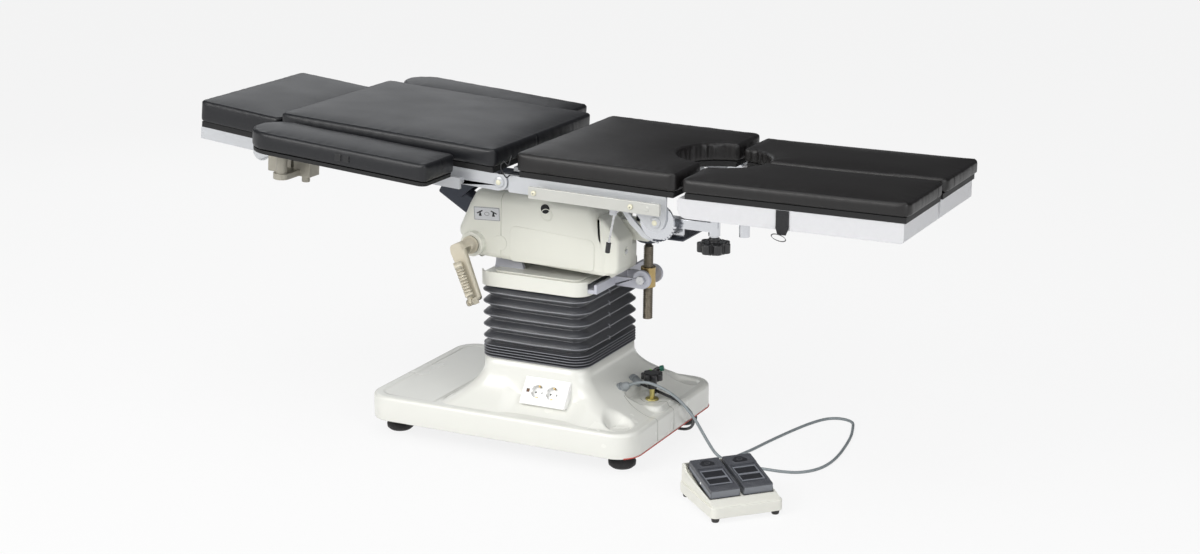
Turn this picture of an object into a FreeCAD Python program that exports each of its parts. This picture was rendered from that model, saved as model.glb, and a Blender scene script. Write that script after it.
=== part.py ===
"""Operating table with a pedestal base, a lifting column and a folding table top, in millimetres.

Frame: +X towards the foot end, +Y away from the crank side, +Z up, z = 0 on the floor.
The table top is drawn flat and then set to its resting angles by the seat, back, head, arm and leg functions.
"""
import FreeCAD, Part
import math
import os

V = FreeCAD.Vector

# Base
BASE_X = -93.0
BASE_LENGTH = 800.0
BASE_WIDTH = 550.0
BASE_BOTTOM = 45.0
SKIRT_TOP = 113.0
SKIRT_CORNER = 66.0
COVER_WALL = 4.0
LEDGE = 24.0
FOOT_RADIUS = 37.0
FOOT_INSET_X = 62.0
FOOT_INSET_Y = 80.0
CHASSIS_PLATE = 8.0
KNOB_BASE_X = 242.0
KNOB_BASE_Y = -7.0
KNOB_SHELF_Z = 128.0
SOCKET_X = 19.0

# Column
COLUMN_X = -36.0
PEDESTAL_TOP = 235.0
BELLOWS_LENGTH = 318.0
BELLOWS_WIDTH = 350.0
BELLOWS_CORNER = 48.0
BELLOWS_TOP = 433.0
FOLD_DEPTH = 20.0
BELLOWS_WALL = 2.0
OPEN_FOLDS = 5
SHUT_FOLDS = 5
SHUT_PITCH = 7.6
TUBE_OUTER = 190.0
TUBE_WALL = 8.0
TUBE_GAP = 0.3
TUBE_CORNER = 16.0
ACTUATOR_RADIUS = 34.0
ROD_RADIUS = 17.0
ROD_GAP = 0.05
TUBE_TOP = 322.0
MIDDLE_BOTTOM = 100.0
MIDDLE_TOP = 372.0
INNER_BOTTOM = 146.0

# Column head
HEAD_PLATE = 10.0
RIM_LENGTH = 322.0
RIM_WIDTH = 348.0
RIM_CORNER = 42.0
RIM_TOP = 472.0
RIM_WALL = 5.0
TILT_X = -143.0
TILT_Z = 545.0
TILT_SHAFT_RADIUS = 14.0
PIVOT_PLATE = 12.0
PIVOT_PLATE_Y = 96.0
NUT_X = 225.0
NUT_Z = 464.0
EAR_RADIUS = 25.0
EAR_PLATE = 10.0
EAR_Y = 32.0
BOLT_RADIUS = 8.0
BOLT_HEAD = 22.0

# Housing
HOUSING_WIDTH = 280.0
HOUSING_WALL = 5.0
HOUSING_TOP = 680.0
HOUSING_EDGE = 26.0
SEAM_X = -140.0
CHEEK_Y = 22.0
CHEEK_X = 112.0
CRANK_X = -219.0
CRANK_Z = 535.0
BOSS_RADIUS = 33.0
BOSS_LENGTH = 20.0
HUB_RADIUS = 19.0
ARM_LENGTH = 139.0
ARM_LEAN = 23.8
HANDLE_LENGTH = 112.0
SPINDLE_TOP = 605.0
SPINDLE_RADIUS = 13.0
SPINDLE_END = 349.0
THREAD_TOP = 548.0
GEARBOX_RADIUS = 33.0
NUT_RADIUS = 20.0
NUT_HEIGHT = 54.0

# Table top, drawn flat
TOP_HALF = 280.0
PLATE_INSET = 14.0
PLATE_Y = TOP_HALF - PLATE_INSET
PLATE = 8.0
PLATE_TOP = 765.0
PLATE_BOTTOM = 721.0
BOARD = 15.0
PAD_BOTTOM = 780.3
PAD_TOP = 837.0
PAD_CORNER = 22.0
PAD_EDGE = 12.0
SEAT_START = -50.0
SEAT_END = 393.0
SEAT_PAD_START = -30.0
SEAT_PAD_END = 425.0
CUTOUT_RADIUS = 118.0
CUTOUT_X = 432.0
LATERAL_Z = 700.0
LATERAL_RADIUS = 16.0
RAIL_OUT = 34.0
RAIL_Y = PLATE_Y + RAIL_OUT
RAIL_START = 25.0
RAIL_END = 391.0
RAIL_TOP = 752.0
RAIL_HEIGHT = 30.0
RAIL_THICKNESS = 10.0
HINGE_PIN = 8.0
PIN_GAP = 0.05
SIDE_GAP = 0.5
EAR = 24.0

# Back section
BACK_HINGE_X = -76.5
BACK_HINGE_Z = 744.6
BACK_PAD_END = -84.0
BACK_PAD_LENGTH = 664.0
BACK_FRAME_END = -742.0
BACK_PAD_TOP = 836.0

# Head section
HEAD_HINGE_X = -829.0
HEAD_HINGE_Z = 702.0
HEAD_HALF = 252.0
HEAD_INSET = 12.0
HEAD_PLATE_Y = HEAD_HALF - HEAD_INSET
HEAD_LENGTH = 200.0
HEAD_PLATE_TOP = 30.0
HEAD_PLATE_BOTTOM = -3.0
HEAD_PAD_TOP = 112.0
HEAD_PAD_BOTTOM = 46.0
HEAD_PAD_END = 62.0
HEAD_EAR = 26.0

# Armboards
ARM_X = -668.0
ARM_OUT = 77.0
ARM_Y = RAIL_Y + ARM_OUT
ARM_HALF = 80.0
ARM_REACH = 484.0
ARM_BOARD_BOTTOM = 758.0
ARM_BOARD = 10.0
ARM_PAD_TOP = 824.0
ARM_POST_RADIUS = 11.0

# Leg sections
LEG_HINGE_X = 365.6
LEG_HINGE_Z = 696.6
LEG_START = 424.0
LEG_END = 1009.0
LEG_TOP = 765.0
LEG_BOTTOM = 715.0
LEG_WALL = 6.0
LEG_INNER = 9.0
LEG_PAD_START = 433.0
LEG_PAD_END = 1026.0
LEG_PAD_TOP = 826.0
POST_X = 503.0
POST_Y = 215.0
POST_RADIUS = 10.0
SOCKET_RADIUS = 15.0
SOCKET_BOTTOM = 667.0
SOCKET_TOP = 712.0
KNOB_RADIUS = 43.0
QUADRANT_RADIUS = 46.0
QUADRANT_TEETH = 9
TOOTH_DEPTH = 5.0

# Foot switch
SWITCH_X = 607.0
SWITCH_Y = -322.0
SWITCH_TURN = -43.5
SWITCH_LENGTH = 212.0
SWITCH_WIDTH = 192.0
SWITCH_FRONT = 52.0
SWITCH_BACK = 74.0
SWITCH_FOOT = 12.0
PEDAL_LENGTH = 196.0
PEDAL_WIDTH = 76.0
PEDAL_HEIGHT = 24.0
PEDAL_PIVOT = 46.0
PEDAL_GAP = 9.0

# Cords
CABLE_RADIUS = 4.0
LEAD_RADIUS = 4.0

# Resting angles in degrees about +Y, so that the head end is up
SEAT_ANGLE = 1.3
BACK_ANGLE = 2.2
HEAD_ANGLE = 2.5
ARM_ANGLE = 1.0
LEG_ANGLE = -1.3

# Base details
SKIRT_EDGE = 10.0
FLARE_LEFT = 92.0
POCKET = 70.0
POCKET_INSET = 70.0
SHELF_LENGTH = 116.0
SHELF_WIDTH = 120.0
SOCKET_WIDTH = 135.0
SOCKET_Y = -150.0
SOCKET_DEPTH = 68.0
SOCKET_LEAN = 44.0
SOCKET_Z = 136.0
SOCKET_HEIGHT = 72.0
SOCKET_PLACES = (-22.0, 22.0)
SOCKET_BORE = 18.0
SOCKET_BORE_DEPTH = 12.0
SQUARE_HOLE_PLACE = -50.0
SQUARE_HOLE = 5.0
GLAND_RADIUS = 14.0
KNOB_SHAFT = 7.0
ELBOW_PLACE = (222.0, 42.0)
ELBOW_Z = 214.0

# Column details
HEAD_UNDERSIDE = 425.0
HEAD_TOP = 441.0
HEAD_SEAT = 0.3
ACTUATOR_TOP = 340.0
ROD_BOTTOM = 140.0
END_PLATE_X = 139.0
END_PLATE_Y = 148.0
END_PLATE_TOP = 466.0
PIVOT_EYE = 26.0
BOLT_INNER = 24.0
STUB_INNER = 34.0

# Housing details
HOUSING_OPEN = 490.0
HOUSING_OUTLINE = ((181.0, 485.0, 14.0), (181.0, 555.0, 20.0), (135.0, 660.0, 18.0), (118.0, 680.0, 14.0),
                   (-221.0, 680.0, 26.0), (-243.0, 640.0, 26.0), (-281.0, 556.0, 30.0), (-213.0, 492.0, 30.0))
SEAM_GAP = 0.6
SPINDLE_SLOT_X = 120.0
SPINDLE_SLOT_Y = 54.0
SPINDLE_SLOT_Z = 566.0
EYE_X = -5.0
EYE_Z = 640.0
EYE_RADIUS = 17.0
LATERAL_HEAD_X = -113.0
LATERAL_FOOT_X = 147.0
LATERAL_SHAFT = 10.0
ARM_INNER = 38.0
FRAME_ARM = 10.0
ARM_TIP_X = 255.0
BEARING_END = 84.0
CRANK_SHAFT = 9.0
DRIVE_RADIUS = 6.5
DRIVE_BEARING = 0.63
BEVEL_NEAR = 12.0
BEVEL_FAR = 22.0
BEVEL_SLOPE = 0.66
ARM_NEAR_Y = -217.0
ARM_FAR_Y = -238.0
HANDLE_Y = -254.0
HANDLE_RADIUS = 11.0
HANDLE_PIN = 3.0
HANDLE_RIBS = 9
GEARBOX_PIN = 8.0
SHANK_RADIUS = 9.0

# Table top details
BOARD_INSET = 12.0
PAD_SEAT = 0.3
LUG_PLATE = 9.5
LUG_Y = PLATE_Y - PLATE - SIDE_GAP - LUG_PLATE
HUB_PLATE = 8.0
HUB_GAP = 0.4
HUB_Y = PLATE_Y - PLATE - HUB_GAP - HUB_PLATE
GUARD_INSET = 26.0
GUARD_Y = PLATE_Y - GUARD_INSET
HANGER_TOP = 735.0
LEVER_X = 247.0
LEVER_Z = 708.0
LEVER_INSET = 20.0
LEVER_Y = PLATE_Y - LEVER_INSET
LEVER_PIN = 4.0
RAIL_SCREWS = (41.0, 357.0)
DRIVE_LENGTH = 104.0
DRIVE_HALF = 22.0
DRIVE_HEIGHT = 52.0
DRIVE_LEAN = 30.0
DRIVE_X = -345.0
DRIVE_Z = 624.0
ARM_LOW_Y = 22.0
BACK_EAR = 22.0
BACK_BEAMS = ((-200.0, 20.0), (-480.0, 36.0), (-742.0, 36.0))
BACK_RAIL_START = -735.0
BACK_RAIL_END = -174.0
BACK_RAIL_TOP = 746.0
BACK_RAIL_SCREWS = (-190.0, -450.0, -715.0)
HEAD_LUG_Y = HEAD_PLATE_Y + SIDE_GAP
CLAMP_SPANS = ((-749.0, -676.0), (-668.0, -617.0))
CLAMP_BOTTOM = 660.0
QUADRANT_START = -100.0
QUADRANT_STEP = 11.0
LEG_PIN = 6.0
LEG_GAP = 4.0
KNOB_TOP = 651.6
KNOB_BOTTOM = 625.0
STUB_X = 583.7
STUB_BOTTOM = 673.6
STRAP_X = 686.0
STRAP_WIDTH = 34.0
STRAP_BOTTOM = 709.0

# Foot switch details
PEDAL_Z = 52.0
PEDAL_PIVOT_X = 52.0
PEDAL_PIVOT_Z = 47.0
PEDAL_PIN = 3.0
PEDAL_REST = 5.0

# Cord routes, in the order in which the cord runs away from the base
GLAND_GREY = (171.0, -44.0, 159.0)
GLAND_BLACK = (170.0, 34.0, 157.0)
CABLE_POINTS = ((171.0, -44.0, 159.0), (222.0, -48.0, 190.0), (288.0, -54.0, 184.0), (348.0, -60.0, 157.0),
                (394.0, -66.0, 114.0), (429.0, -71.0, 64.0), (466.0, -75.0, 18.0), (528.0, -66.0, 4.5),
                (585.0, -60.0, 4.2), (635.0, -59.0, 4.2), (682.0, -46.0, 4.2), (716.0, -2.0, 4.2), (728.0, 55.0, 4.2),
                (727.0, 125.0, 4.2), (716.0, 212.0, 4.2), (703.0, 285.0, 4.2), (682.0, 355.0, 4.2), (668.0, 393.0, 4.2),
                (630.0, 408.0, 4.2), (593.0, 390.0, 4.2), (567.0, 334.0, 4.2), (547.0, 264.0, 4.2), (531.0, 195.0, 4.2),
                (516.0, 125.0, 4.2), (505.0, 61.0, 4.2), (488.0, 0.0, 4.2), (474.0, -62.0, 4.2), (476.0, -126.0, 5.0),
                (500.0, -186.0, 12.0), (545.0, -232.1, 24.8))
LEAD_POINTS = ((170.0, 34.0, 157.0), (218.0, 18.0, 150.0), (268.0, 8.0, 142.0), (312.0, 22.0, 122.0),
               (330.0, 56.0, 84.0), (326.0, 86.0, 44.0), (296.0, 112.0, 11.0), (242.0, 130.0, 4.3),
               (170.0, 168.0, 4.2), (90.0, 218.0, 4.2), (16.0, 268.0, 4.2), (-29.3, 311.2, 4.2))
GLANDS = ((GLAND_GREY, CABLE_POINTS[1], CABLE_RADIUS), (GLAND_BLACK, LEAD_POINTS[1], LEAD_RADIUS))
COIL_PLACE = (-70.0, 350.0)
COIL_RADIUS = 44.0
COIL_BUNDLE = 13.0


def turned(shape, x, z, angle):
    """A copy turned about the line along Y through x, z."""
    copy = shape.copy()
    copy.rotate(V(x, 0, z), V(0, 1, 0), angle)
    return copy


def at_seat(shape):
    return turned(shape, TILT_X, TILT_Z, SEAT_ANGLE)


def at_back(shape):
    return at_seat(turned(shape, BACK_HINGE_X, BACK_HINGE_Z, BACK_ANGLE))


def at_head(shape):
    return at_back(turned(shape, HEAD_HINGE_X, HEAD_HINGE_Z, HEAD_ANGLE))


def at_arm(shape):
    return at_back(turned(shape, ARM_X, ARM_BOARD_BOTTOM, ARM_ANGLE))


def at_leg(shape):
    return at_seat(turned(shape, LEG_HINGE_X, LEG_HINGE_Z, LEG_ANGLE))


def box(x0, x1, y0, y1, z0, z1):
    return Part.makeBox(x1 - x0, y1 - y0, z1 - z0, V(x0, y0, z0))


def rod(radius, start, end):
    start = V(*start)
    along = V(*end) - start
    return Part.makeCylinder(radius, along.Length, start, along)


def mirrored(shape):
    return shape.mirror(V(0, 0, 0), V(0, 1, 0))


def both_sides(shape):
    return Part.makeCompound([shape, mirrored(shape)])


def fused(shapes):
    whole = shapes[0]
    for shape in shapes[1:]:
        whole = whole.fuse(shape)
    return whole.removeSplitter()


def rounded_wire(corners, place):
    """Closed outline through corners (u, v, radius), each corner rounded by its radius."""
    ends = []
    count = len(corners)
    for i, (u, v, radius) in enumerate(corners):
        here = V(u, v, 0)
        before = V(corners[i - 1][0], corners[i - 1][1], 0) - here
        after = V(corners[(i + 1) % count][0], corners[(i + 1) % count][1], 0) - here
        before.normalize()
        after.normalize()
        if radius <= 0:
            ends.append((here, None, here))
            continue
        half = before.getAngle(after) / 2
        reach = radius / math.tan(half)
        middle = before + after
        middle.normalize()
        nearest = here + middle * (radius / math.sin(half) - radius)
        ends.append((here + before * reach, nearest, here + after * reach))
    edges = []
    for i, (start, nearest, end) in enumerate(ends):
        if nearest is not None:
            edges.append(Part.Arc(place(start), place(nearest), place(end)).toShape())
        following = ends[(i + 1) % count][0]
        if (following - end).Length > 1e-5:
            edges.append(Part.LineSegment(place(end), place(following)).toShape())
    return Part.Wire(edges)


def side_plate(corners, y0, y1):
    """Outline in the XZ plane, made solid from y0 to y1."""
    wire = rounded_wire(corners, lambda p: V(p.x, y0, p.y))
    return Part.Face(wire).extrude(V(0, y1 - y0, 0))


def floor_wire(length, width, corner, x, z, y=0.0):
    a, b = length / 2, width / 2
    corners = [(x - a, y - b, corner), (x + a, y - b, corner), (x + a, y + b, corner), (x - a, y + b, corner)]
    return rounded_wire(corners, lambda p: V(p.x, p.y, z))


def slab(length, width, corner, x, z0, z1, y=0.0):
    return Part.Face(floor_wire(length, width, corner, x, z0, y)).extrude(V(0, 0, z1 - z0))


def plan_plate(corners, z0, z1):
    wire = rounded_wire(corners, lambda p: V(p.x, p.y, z0))
    return Part.Face(wire).extrude(V(0, 0, z1 - z0))


def edges_at(shape, z):
    return [e for e in shape.Edges if all(abs(v.Z - z) < 0.01 for v in e.Vertexes)]


def cushion(shape, edge=PAD_EDGE):
    """A plain cushion with its upper and lower edges rounded."""
    top = shape.BoundBox.ZMax
    bottom = shape.BoundBox.ZMin
    shape = shape.makeFillet(edge, edges_at(shape, top))
    return shape.makeFillet(edge * 0.5, edges_at(shape, bottom))


def flared(sections):
    return Part.makeLoft([floor_wire(*s) for s in sections], True, False)


def folded(sections):
    return Part.makeLoft([floor_wire(*s) for s in sections], True, True)


def disc_across(x, z, radius, y0, y1):
    return rod(radius, (x, y0, z), (x, y1, z))


def base_cover():
    """Skirt, swept pedestal and low head end deck, hollow underneath, with end pockets."""
    skirt = slab(BASE_LENGTH, BASE_WIDTH, SKIRT_CORNER, BASE_X, BASE_BOTTOM, SKIRT_TOP)
    skirt = skirt.makeFillet(SKIRT_EDGE, edges_at(skirt, SKIRT_TOP))
    right = BASE_X + BASE_LENGTH / 2 - LEDGE
    top_length = BELLOWS_LENGTH - 8
    top_width = BELLOWS_WIDTH - 8
    steps = 4
    sections = []
    for i in range(steps + 1):
        t = i / steps
        spread = (1 - math.sin(t * math.pi / 2)) ** 1.35
        low = COLUMN_X - top_length / 2 - spread * FLARE_LEFT
        high = COLUMN_X + top_length / 2 + spread * (right - COLUMN_X - top_length / 2)
        width = top_width + spread * (BASE_WIDTH - 2 * LEDGE - top_width)
        z = SKIRT_TOP - 2 + t * (PEDESTAL_TOP - SKIRT_TOP + 2)
        sections.append((high - low, width, BELLOWS_CORNER - 4, (high + low) / 2, z))
    cover = skirt.fuse(flared(sections))
    inside = slab(BASE_LENGTH - 2 * COVER_WALL, BASE_WIDTH - 2 * COVER_WALL, SKIRT_CORNER - COVER_WALL, BASE_X,
                  BASE_BOTTOM - 1, SKIRT_TOP - 2 * COVER_WALL)
    throat = slab(top_length - 16, top_width - 16, BELLOWS_CORNER - 12, COLUMN_X, BASE_BOTTOM, PEDESTAL_TOP + 1)
    cover = cover.cut(inside).cut(throat)
    pocket_x = BASE_X + BASE_LENGTH / 2 - POCKET_INSET
    for side in (-1, 1):
        pocket = slab(POCKET, POCKET, 18, pocket_x, SKIRT_TOP - 3, PEDESTAL_TOP, side * (BASE_WIDTH / 2 - POCKET_INSET))
        cover = cover.cut(pocket)
    shelf = slab(SHELF_LENGTH, SHELF_WIDTH, 24, KNOB_BASE_X, KNOB_SHELF_Z, PEDESTAL_TOP + 5, KNOB_BASE_Y)
    cover = cover.cut(shelf)
    recess = box(SOCKET_X - SOCKET_WIDTH / 2 - 3, SOCKET_X + SOCKET_WIDTH / 2 + 3, -BASE_WIDTH / 2, SOCKET_Y, SOCKET_Z,
                 SOCKET_Z + SOCKET_HEIGHT)
    cover = cover.cut(recess)
    for start, toward, bore in GLANDS:
        start = V(*start)
        along = V(*toward) - start
        along.normalize()
        cover = cover.cut(Part.makeCylinder(GLAND_RADIUS, 40, start - along * 12, along))
    return cover


def socket_box():
    """Outlet box in the near flank: a leaning front with two round sockets and one square hole."""
    low = SOCKET_Y - SOCKET_DEPTH
    corners = [(SOCKET_Y, SOCKET_Z), (low, SOCKET_Z), (low + SOCKET_LEAN, SOCKET_Z + SOCKET_HEIGHT - 8),
               (SOCKET_Y, SOCKET_Z + SOCKET_HEIGHT)]
    left = SOCKET_X - SOCKET_WIDTH / 2
    outline = Part.makePolygon([V(left, y, z) for y, z in corners] + [V(left, corners[0][0], corners[0][1])])
    body = Part.Face(outline).extrude(V(SOCKET_WIDTH, 0, 0))
    face = V(0, low + SOCKET_LEAN / 2, SOCKET_Z + SOCKET_HEIGHT / 2 - 4)
    out = V(0, -(SOCKET_HEIGHT - 8), SOCKET_LEAN)
    out.normalize()
    for offset in SOCKET_PLACES:
        middle = face + V(SOCKET_X + offset, 0, 0)
        body = body.cut(Part.makeCylinder(SOCKET_BORE, SOCKET_BORE_DEPTH + 8, middle - out * SOCKET_BORE_DEPTH, out))
    pin_hole = box(-SQUARE_HOLE, SQUARE_HOLE, -12, 10, -SQUARE_HOLE, SQUARE_HOLE)
    pin_hole.translate(face + V(SOCKET_X + SQUARE_HOLE_PLACE, 0, 0))
    return body.cut(pin_hole)


def base_chassis():
    """Steel plate inside the cover that carries the feet and the column."""
    gap = COVER_WALL + 0.5
    plate = slab(BASE_LENGTH - 2 * gap, BASE_WIDTH - 2 * gap, SKIRT_CORNER - gap, BASE_X, BASE_BOTTOM,
                 BASE_BOTTOM + CHASSIS_PLATE)
    for side in (-1, 1):
        rib = box(BASE_X - BASE_LENGTH / 2 + 80, BASE_X + BASE_LENGTH / 2 - 80, side * 150 - 4, side * 150 + 4,
                  BASE_BOTTOM + CHASSIS_PLATE, BASE_BOTTOM + CHASSIS_PLATE + 30)
        plate = plate.fuse(rib)
    return plate


def rubber_feet():
    feet = []
    for sx in (-1, 1):
        for sy in (-1, 1):
            x = BASE_X + sx * (BASE_LENGTH / 2 - FOOT_INSET_X)
            y = sy * (BASE_WIDTH / 2 - FOOT_INSET_Y)
            corners = [(0, 0), (FOOT_RADIUS - 9, 0), (FOOT_RADIUS - 1, 7), (FOOT_RADIUS, 16), (FOOT_RADIUS - 6, 30),
                       (16, 38), (16, BASE_BOTTOM), (0, BASE_BOTTOM)]
            wire = Part.makePolygon([V(x + r, y, z) for r, z in corners] + [V(x, y, 0)])
            feet.append(Part.Face(wire).revolve(V(x, y, 0), V(0, 0, 1), 360))
    return Part.makeCompound(feet)


def cable_glands():
    """Two clamp nuts in the foot end flank, each with a bore for its cord."""
    glands = []
    for start, toward, bore in GLANDS:
        start = V(*start)
        along = V(*toward) - start
        along.normalize()
        nut = Part.makeCylinder(GLAND_RADIUS, 12, start - along * 12, along)
        dome = Part.makeCone(GLAND_RADIUS - 1, GLAND_RADIUS - 5, 14, start, along)
        bored = Part.makeCylinder(bore + 0.3, 60, start - along * 6, along)
        glands.append(nut.fuse(dome).cut(bored))
    return Part.makeCompound(glands)


def base_fittings():
    """Washer under the knob shaft, and the capped elbow behind it."""
    washer = rod(17, (KNOB_BASE_X, KNOB_BASE_Y, KNOB_SHELF_Z), (KNOB_BASE_X, KNOB_BASE_Y, KNOB_SHELF_Z + 4))
    washer = washer.cut(rod(KNOB_SHAFT + 0.05, (KNOB_BASE_X, KNOB_BASE_Y, KNOB_SHELF_Z - 28),
                          (KNOB_BASE_X, KNOB_BASE_Y, KNOB_SHELF_Z + 12)))
    x, y = ELBOW_PLACE
    stem = rod(9, (x, y, KNOB_SHELF_Z), (x, y, ELBOW_Z))
    knee = Part.makeSphere(9, V(x, y, ELBOW_Z))
    arm = rod(9, (x, y, ELBOW_Z), (x + 26, y + 8, ELBOW_Z + 16))
    cap = rod(11, (x + 26, y + 8, ELBOW_Z + 16), (x + 40, y + 12, ELBOW_Z + 25))
    return Part.makeCompound([washer, fused([stem, knee, arm, cap])])


def lowering_knob():
    shaft = rod(KNOB_SHAFT, (KNOB_BASE_X, KNOB_BASE_Y, KNOB_SHELF_Z), (KNOB_BASE_X, KNOB_BASE_Y, 168))
    neck = rod(13, (KNOB_BASE_X, KNOB_BASE_Y, 158), (KNOB_BASE_X, KNOB_BASE_Y, 186))
    return fused([shaft, neck, star_knob(KNOB_BASE_X, KNOB_BASE_Y, 182, 202, 30)])


def star_knob(x, y, z0, z1, radius, lobes=7):
    """Hand knob with rounded lobes around a disc."""
    disc = rod(radius * 0.72, (x, y, z0), (x, y, z1))
    for i in range(lobes):
        a = 2 * math.pi * i / lobes
        cx = x + radius * 0.74 * math.cos(a)
        cy = y + radius * 0.74 * math.sin(a)
        disc = disc.fuse(rod(radius * 0.26, (cx, cy, z0 + 1), (cx, cy, z1 - 1)))
    return disc.removeSplitter()


def square_tube(size, corner, z0, z1):
    outer = slab(size, size, corner, COLUMN_X, z0, z1)
    hole = size - 2 * TUBE_WALL
    return outer.cut(slab(hole, hole, max(corner - TUBE_WALL, 2), COLUMN_X, z0 - 1, z1 + 1))


def outer_column():
    floor = BASE_BOTTOM + CHASSIS_PLATE
    flange = slab(TUBE_OUTER + 50, TUBE_OUTER + 50, 20, COLUMN_X, floor, floor + 8)
    hole = TUBE_OUTER - 2 * TUBE_WALL
    flange = flange.cut(slab(hole, hole, 8, COLUMN_X, floor - 1, floor + 9))
    return square_tube(TUBE_OUTER, TUBE_CORNER, floor, TUBE_TOP).fuse(flange).removeSplitter()


def middle_column():
    return square_tube(TUBE_OUTER - 2 * TUBE_WALL - 2 * TUBE_GAP, TUBE_WALL, MIDDLE_BOTTOM, MIDDLE_TOP)


def inner_column():
    size = TUBE_OUTER - 4 * TUBE_WALL - 4 * TUBE_GAP
    return square_tube(size, TUBE_WALL, INNER_BOTTOM, HEAD_UNDERSIDE)


def lift_actuator():
    floor = BASE_BOTTOM + CHASSIS_PLATE
    body = rod(ACTUATOR_RADIUS, (COLUMN_X, 0, floor), (COLUMN_X, 0, ACTUATOR_TOP))
    return body.cut(rod(ROD_RADIUS + ROD_GAP, (COLUMN_X, 0, floor + 5), (COLUMN_X, 0, ACTUATOR_TOP + 1)))


def actuator_rod():
    return rod(ROD_RADIUS, (COLUMN_X, 0, ROD_BOTTOM), (COLUMN_X, 0, HEAD_UNDERSIDE))


def fold_sections(inset):
    """Plan outlines up the bellows: shut folds below, open folds above."""
    waist = FOLD_DEPTH
    levels = [(PEDESTAL_TOP, waist)]
    z = PEDESTAL_TOP
    open_pitch = (BELLOWS_TOP - PEDESTAL_TOP - SHUT_FOLDS * SHUT_PITCH) / OPEN_FOLDS
    for count, pitch in ((SHUT_FOLDS, SHUT_PITCH), (OPEN_FOLDS, open_pitch)):
        for i in range(count):
            levels.append((z + pitch / 2, 0))
            levels.append((z + pitch, waist))
            z += pitch
    sections = []
    for level, depth in levels:
        cut = 2 * (depth + inset)
        corner = BELLOWS_CORNER - depth - inset
        sections.append((BELLOWS_LENGTH - cut, BELLOWS_WIDTH - cut, corner, COLUMN_X, level))
    return sections


def bellows():
    return folded(fold_sections(0)).cut(folded(fold_sections(BELLOWS_WALL)))


def column_head():
    """Plate on the inner column, end plate with two ears for the nut, and two pivot plates for the housing."""
    inside_length = RIM_LENGTH - 2 * RIM_WALL - 0.6
    inside_width = RIM_WIDTH - 2 * RIM_WALL - 0.6
    corner = RIM_CORNER - RIM_WALL
    seat = BELLOWS_TOP + HEAD_SEAT
    neck = slab(230, 230, 20, COLUMN_X, HEAD_UNDERSIDE, seat)
    plate = slab(inside_length, inside_width, corner, COLUMN_X, seat, HEAD_TOP)
    right = COLUMN_X + RIM_LENGTH / 2
    tongue = box(right - 30, END_PLATE_X, -END_PLATE_Y, END_PLATE_Y, HEAD_TOP, HEAD_TOP + HEAD_PLATE)
    end_plate = box(END_PLATE_X, END_PLATE_X + 9, -END_PLATE_Y, END_PLATE_Y, HEAD_TOP, END_PLATE_TOP)
    pieces = [neck, plate, tongue, end_plate]
    start = END_PLATE_X - 6
    for side in (-1, 1):
        y0 = min(side * EAR_Y, side * (EAR_Y + EAR_PLATE))
        ear = side_plate([(start, HEAD_TOP, 0), (start, HEAD_TOP + HEAD_PLATE, 0), (END_PLATE_X, END_PLATE_TOP, 4),
                          (NUT_X - 22, END_PLATE_TOP, 10), (NUT_X - 8, NUT_Z + EAR_RADIUS - 2, 3),
                          (NUT_X, NUT_Z - EAR_RADIUS, 0)], y0, y0 + EAR_PLATE)
        ear = ear.fuse(disc_across(NUT_X, NUT_Z, EAR_RADIUS, y0, y0 + EAR_PLATE))
        pieces.append(ear)
        y1 = min(side * (PIVOT_PLATE_Y - PIVOT_PLATE / 2), side * (PIVOT_PLATE_Y + PIVOT_PLATE / 2))
        post = side_plate([(TILT_X - 42, HEAD_TOP - 1, 0), (TILT_X + 60, HEAD_TOP - 1, 0), (TILT_X + 24, TILT_Z, 20),
                           (TILT_X - 24, TILT_Z, 20)], y1, y1 + PIVOT_PLATE)
        pieces.append(post.fuse(disc_across(TILT_X, TILT_Z, PIVOT_EYE, y1, y1 + PIVOT_PLATE)))
    head = fused(pieces)
    head = head.cut(rod(BOLT_RADIUS + PIN_GAP, (NUT_X, -200, NUT_Z), (NUT_X, 200, NUT_Z)))
    return head.cut(rod(TILT_SHAFT_RADIUS, (TILT_X, -200, TILT_Z), (TILT_X, 200, TILT_Z)))


def head_rim():
    rim = slab(RIM_LENGTH, RIM_WIDTH, RIM_CORNER, COLUMN_X, BELLOWS_TOP, RIM_TOP)
    hole = slab(RIM_LENGTH - 2 * RIM_WALL, RIM_WIDTH - 2 * RIM_WALL, RIM_CORNER - RIM_WALL, COLUMN_X,
                BELLOWS_TOP - 1, RIM_TOP + 1)
    rim = rim.cut(hole)
    right = COLUMN_X + RIM_LENGTH / 2
    left = COLUMN_X - RIM_LENGTH / 2
    rim = rim.cut(box(right - 20, right + 1, -END_PLATE_Y - 0.5, END_PLATE_Y + 0.5, HEAD_TOP - 0.2, RIM_TOP + 1))
    return rim.cut(box(left - 1, left + 20, -END_PLATE_Y, END_PLATE_Y, BELLOWS_TOP + 14, RIM_TOP + 1))


def trunnion_bolts():
    """Two hexagon bolts through the ears; they stop just short of the nut."""
    bolts = []
    for side in (-1, 1):
        outer = side * (EAR_Y + EAR_PLATE)
        shank = rod(BOLT_RADIUS, (NUT_X, side * BOLT_INNER, NUT_Z), (NUT_X, outer, NUT_Z))
        hexagon = [V(NUT_X + BOLT_HEAD / math.sqrt(3) * math.cos(math.pi * k / 3), outer,
                     NUT_Z + BOLT_HEAD / math.sqrt(3) * math.sin(math.pi * k / 3)) for k in range(7)]
        head = Part.Face(Part.makePolygon(hexagon)).extrude(V(0, side * 11, 0))
        bolts.append(shank.fuse(head))
    return Part.makeCompound(bolts)


def tilt_shaft():
    inner = PIVOT_PLATE_Y + PIVOT_PLATE / 2 + 4
    return both_sides(rod(TILT_SHAFT_RADIUS, (TILT_X, STUB_INNER, TILT_Z), (TILT_X, inner, TILT_Z)))


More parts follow.
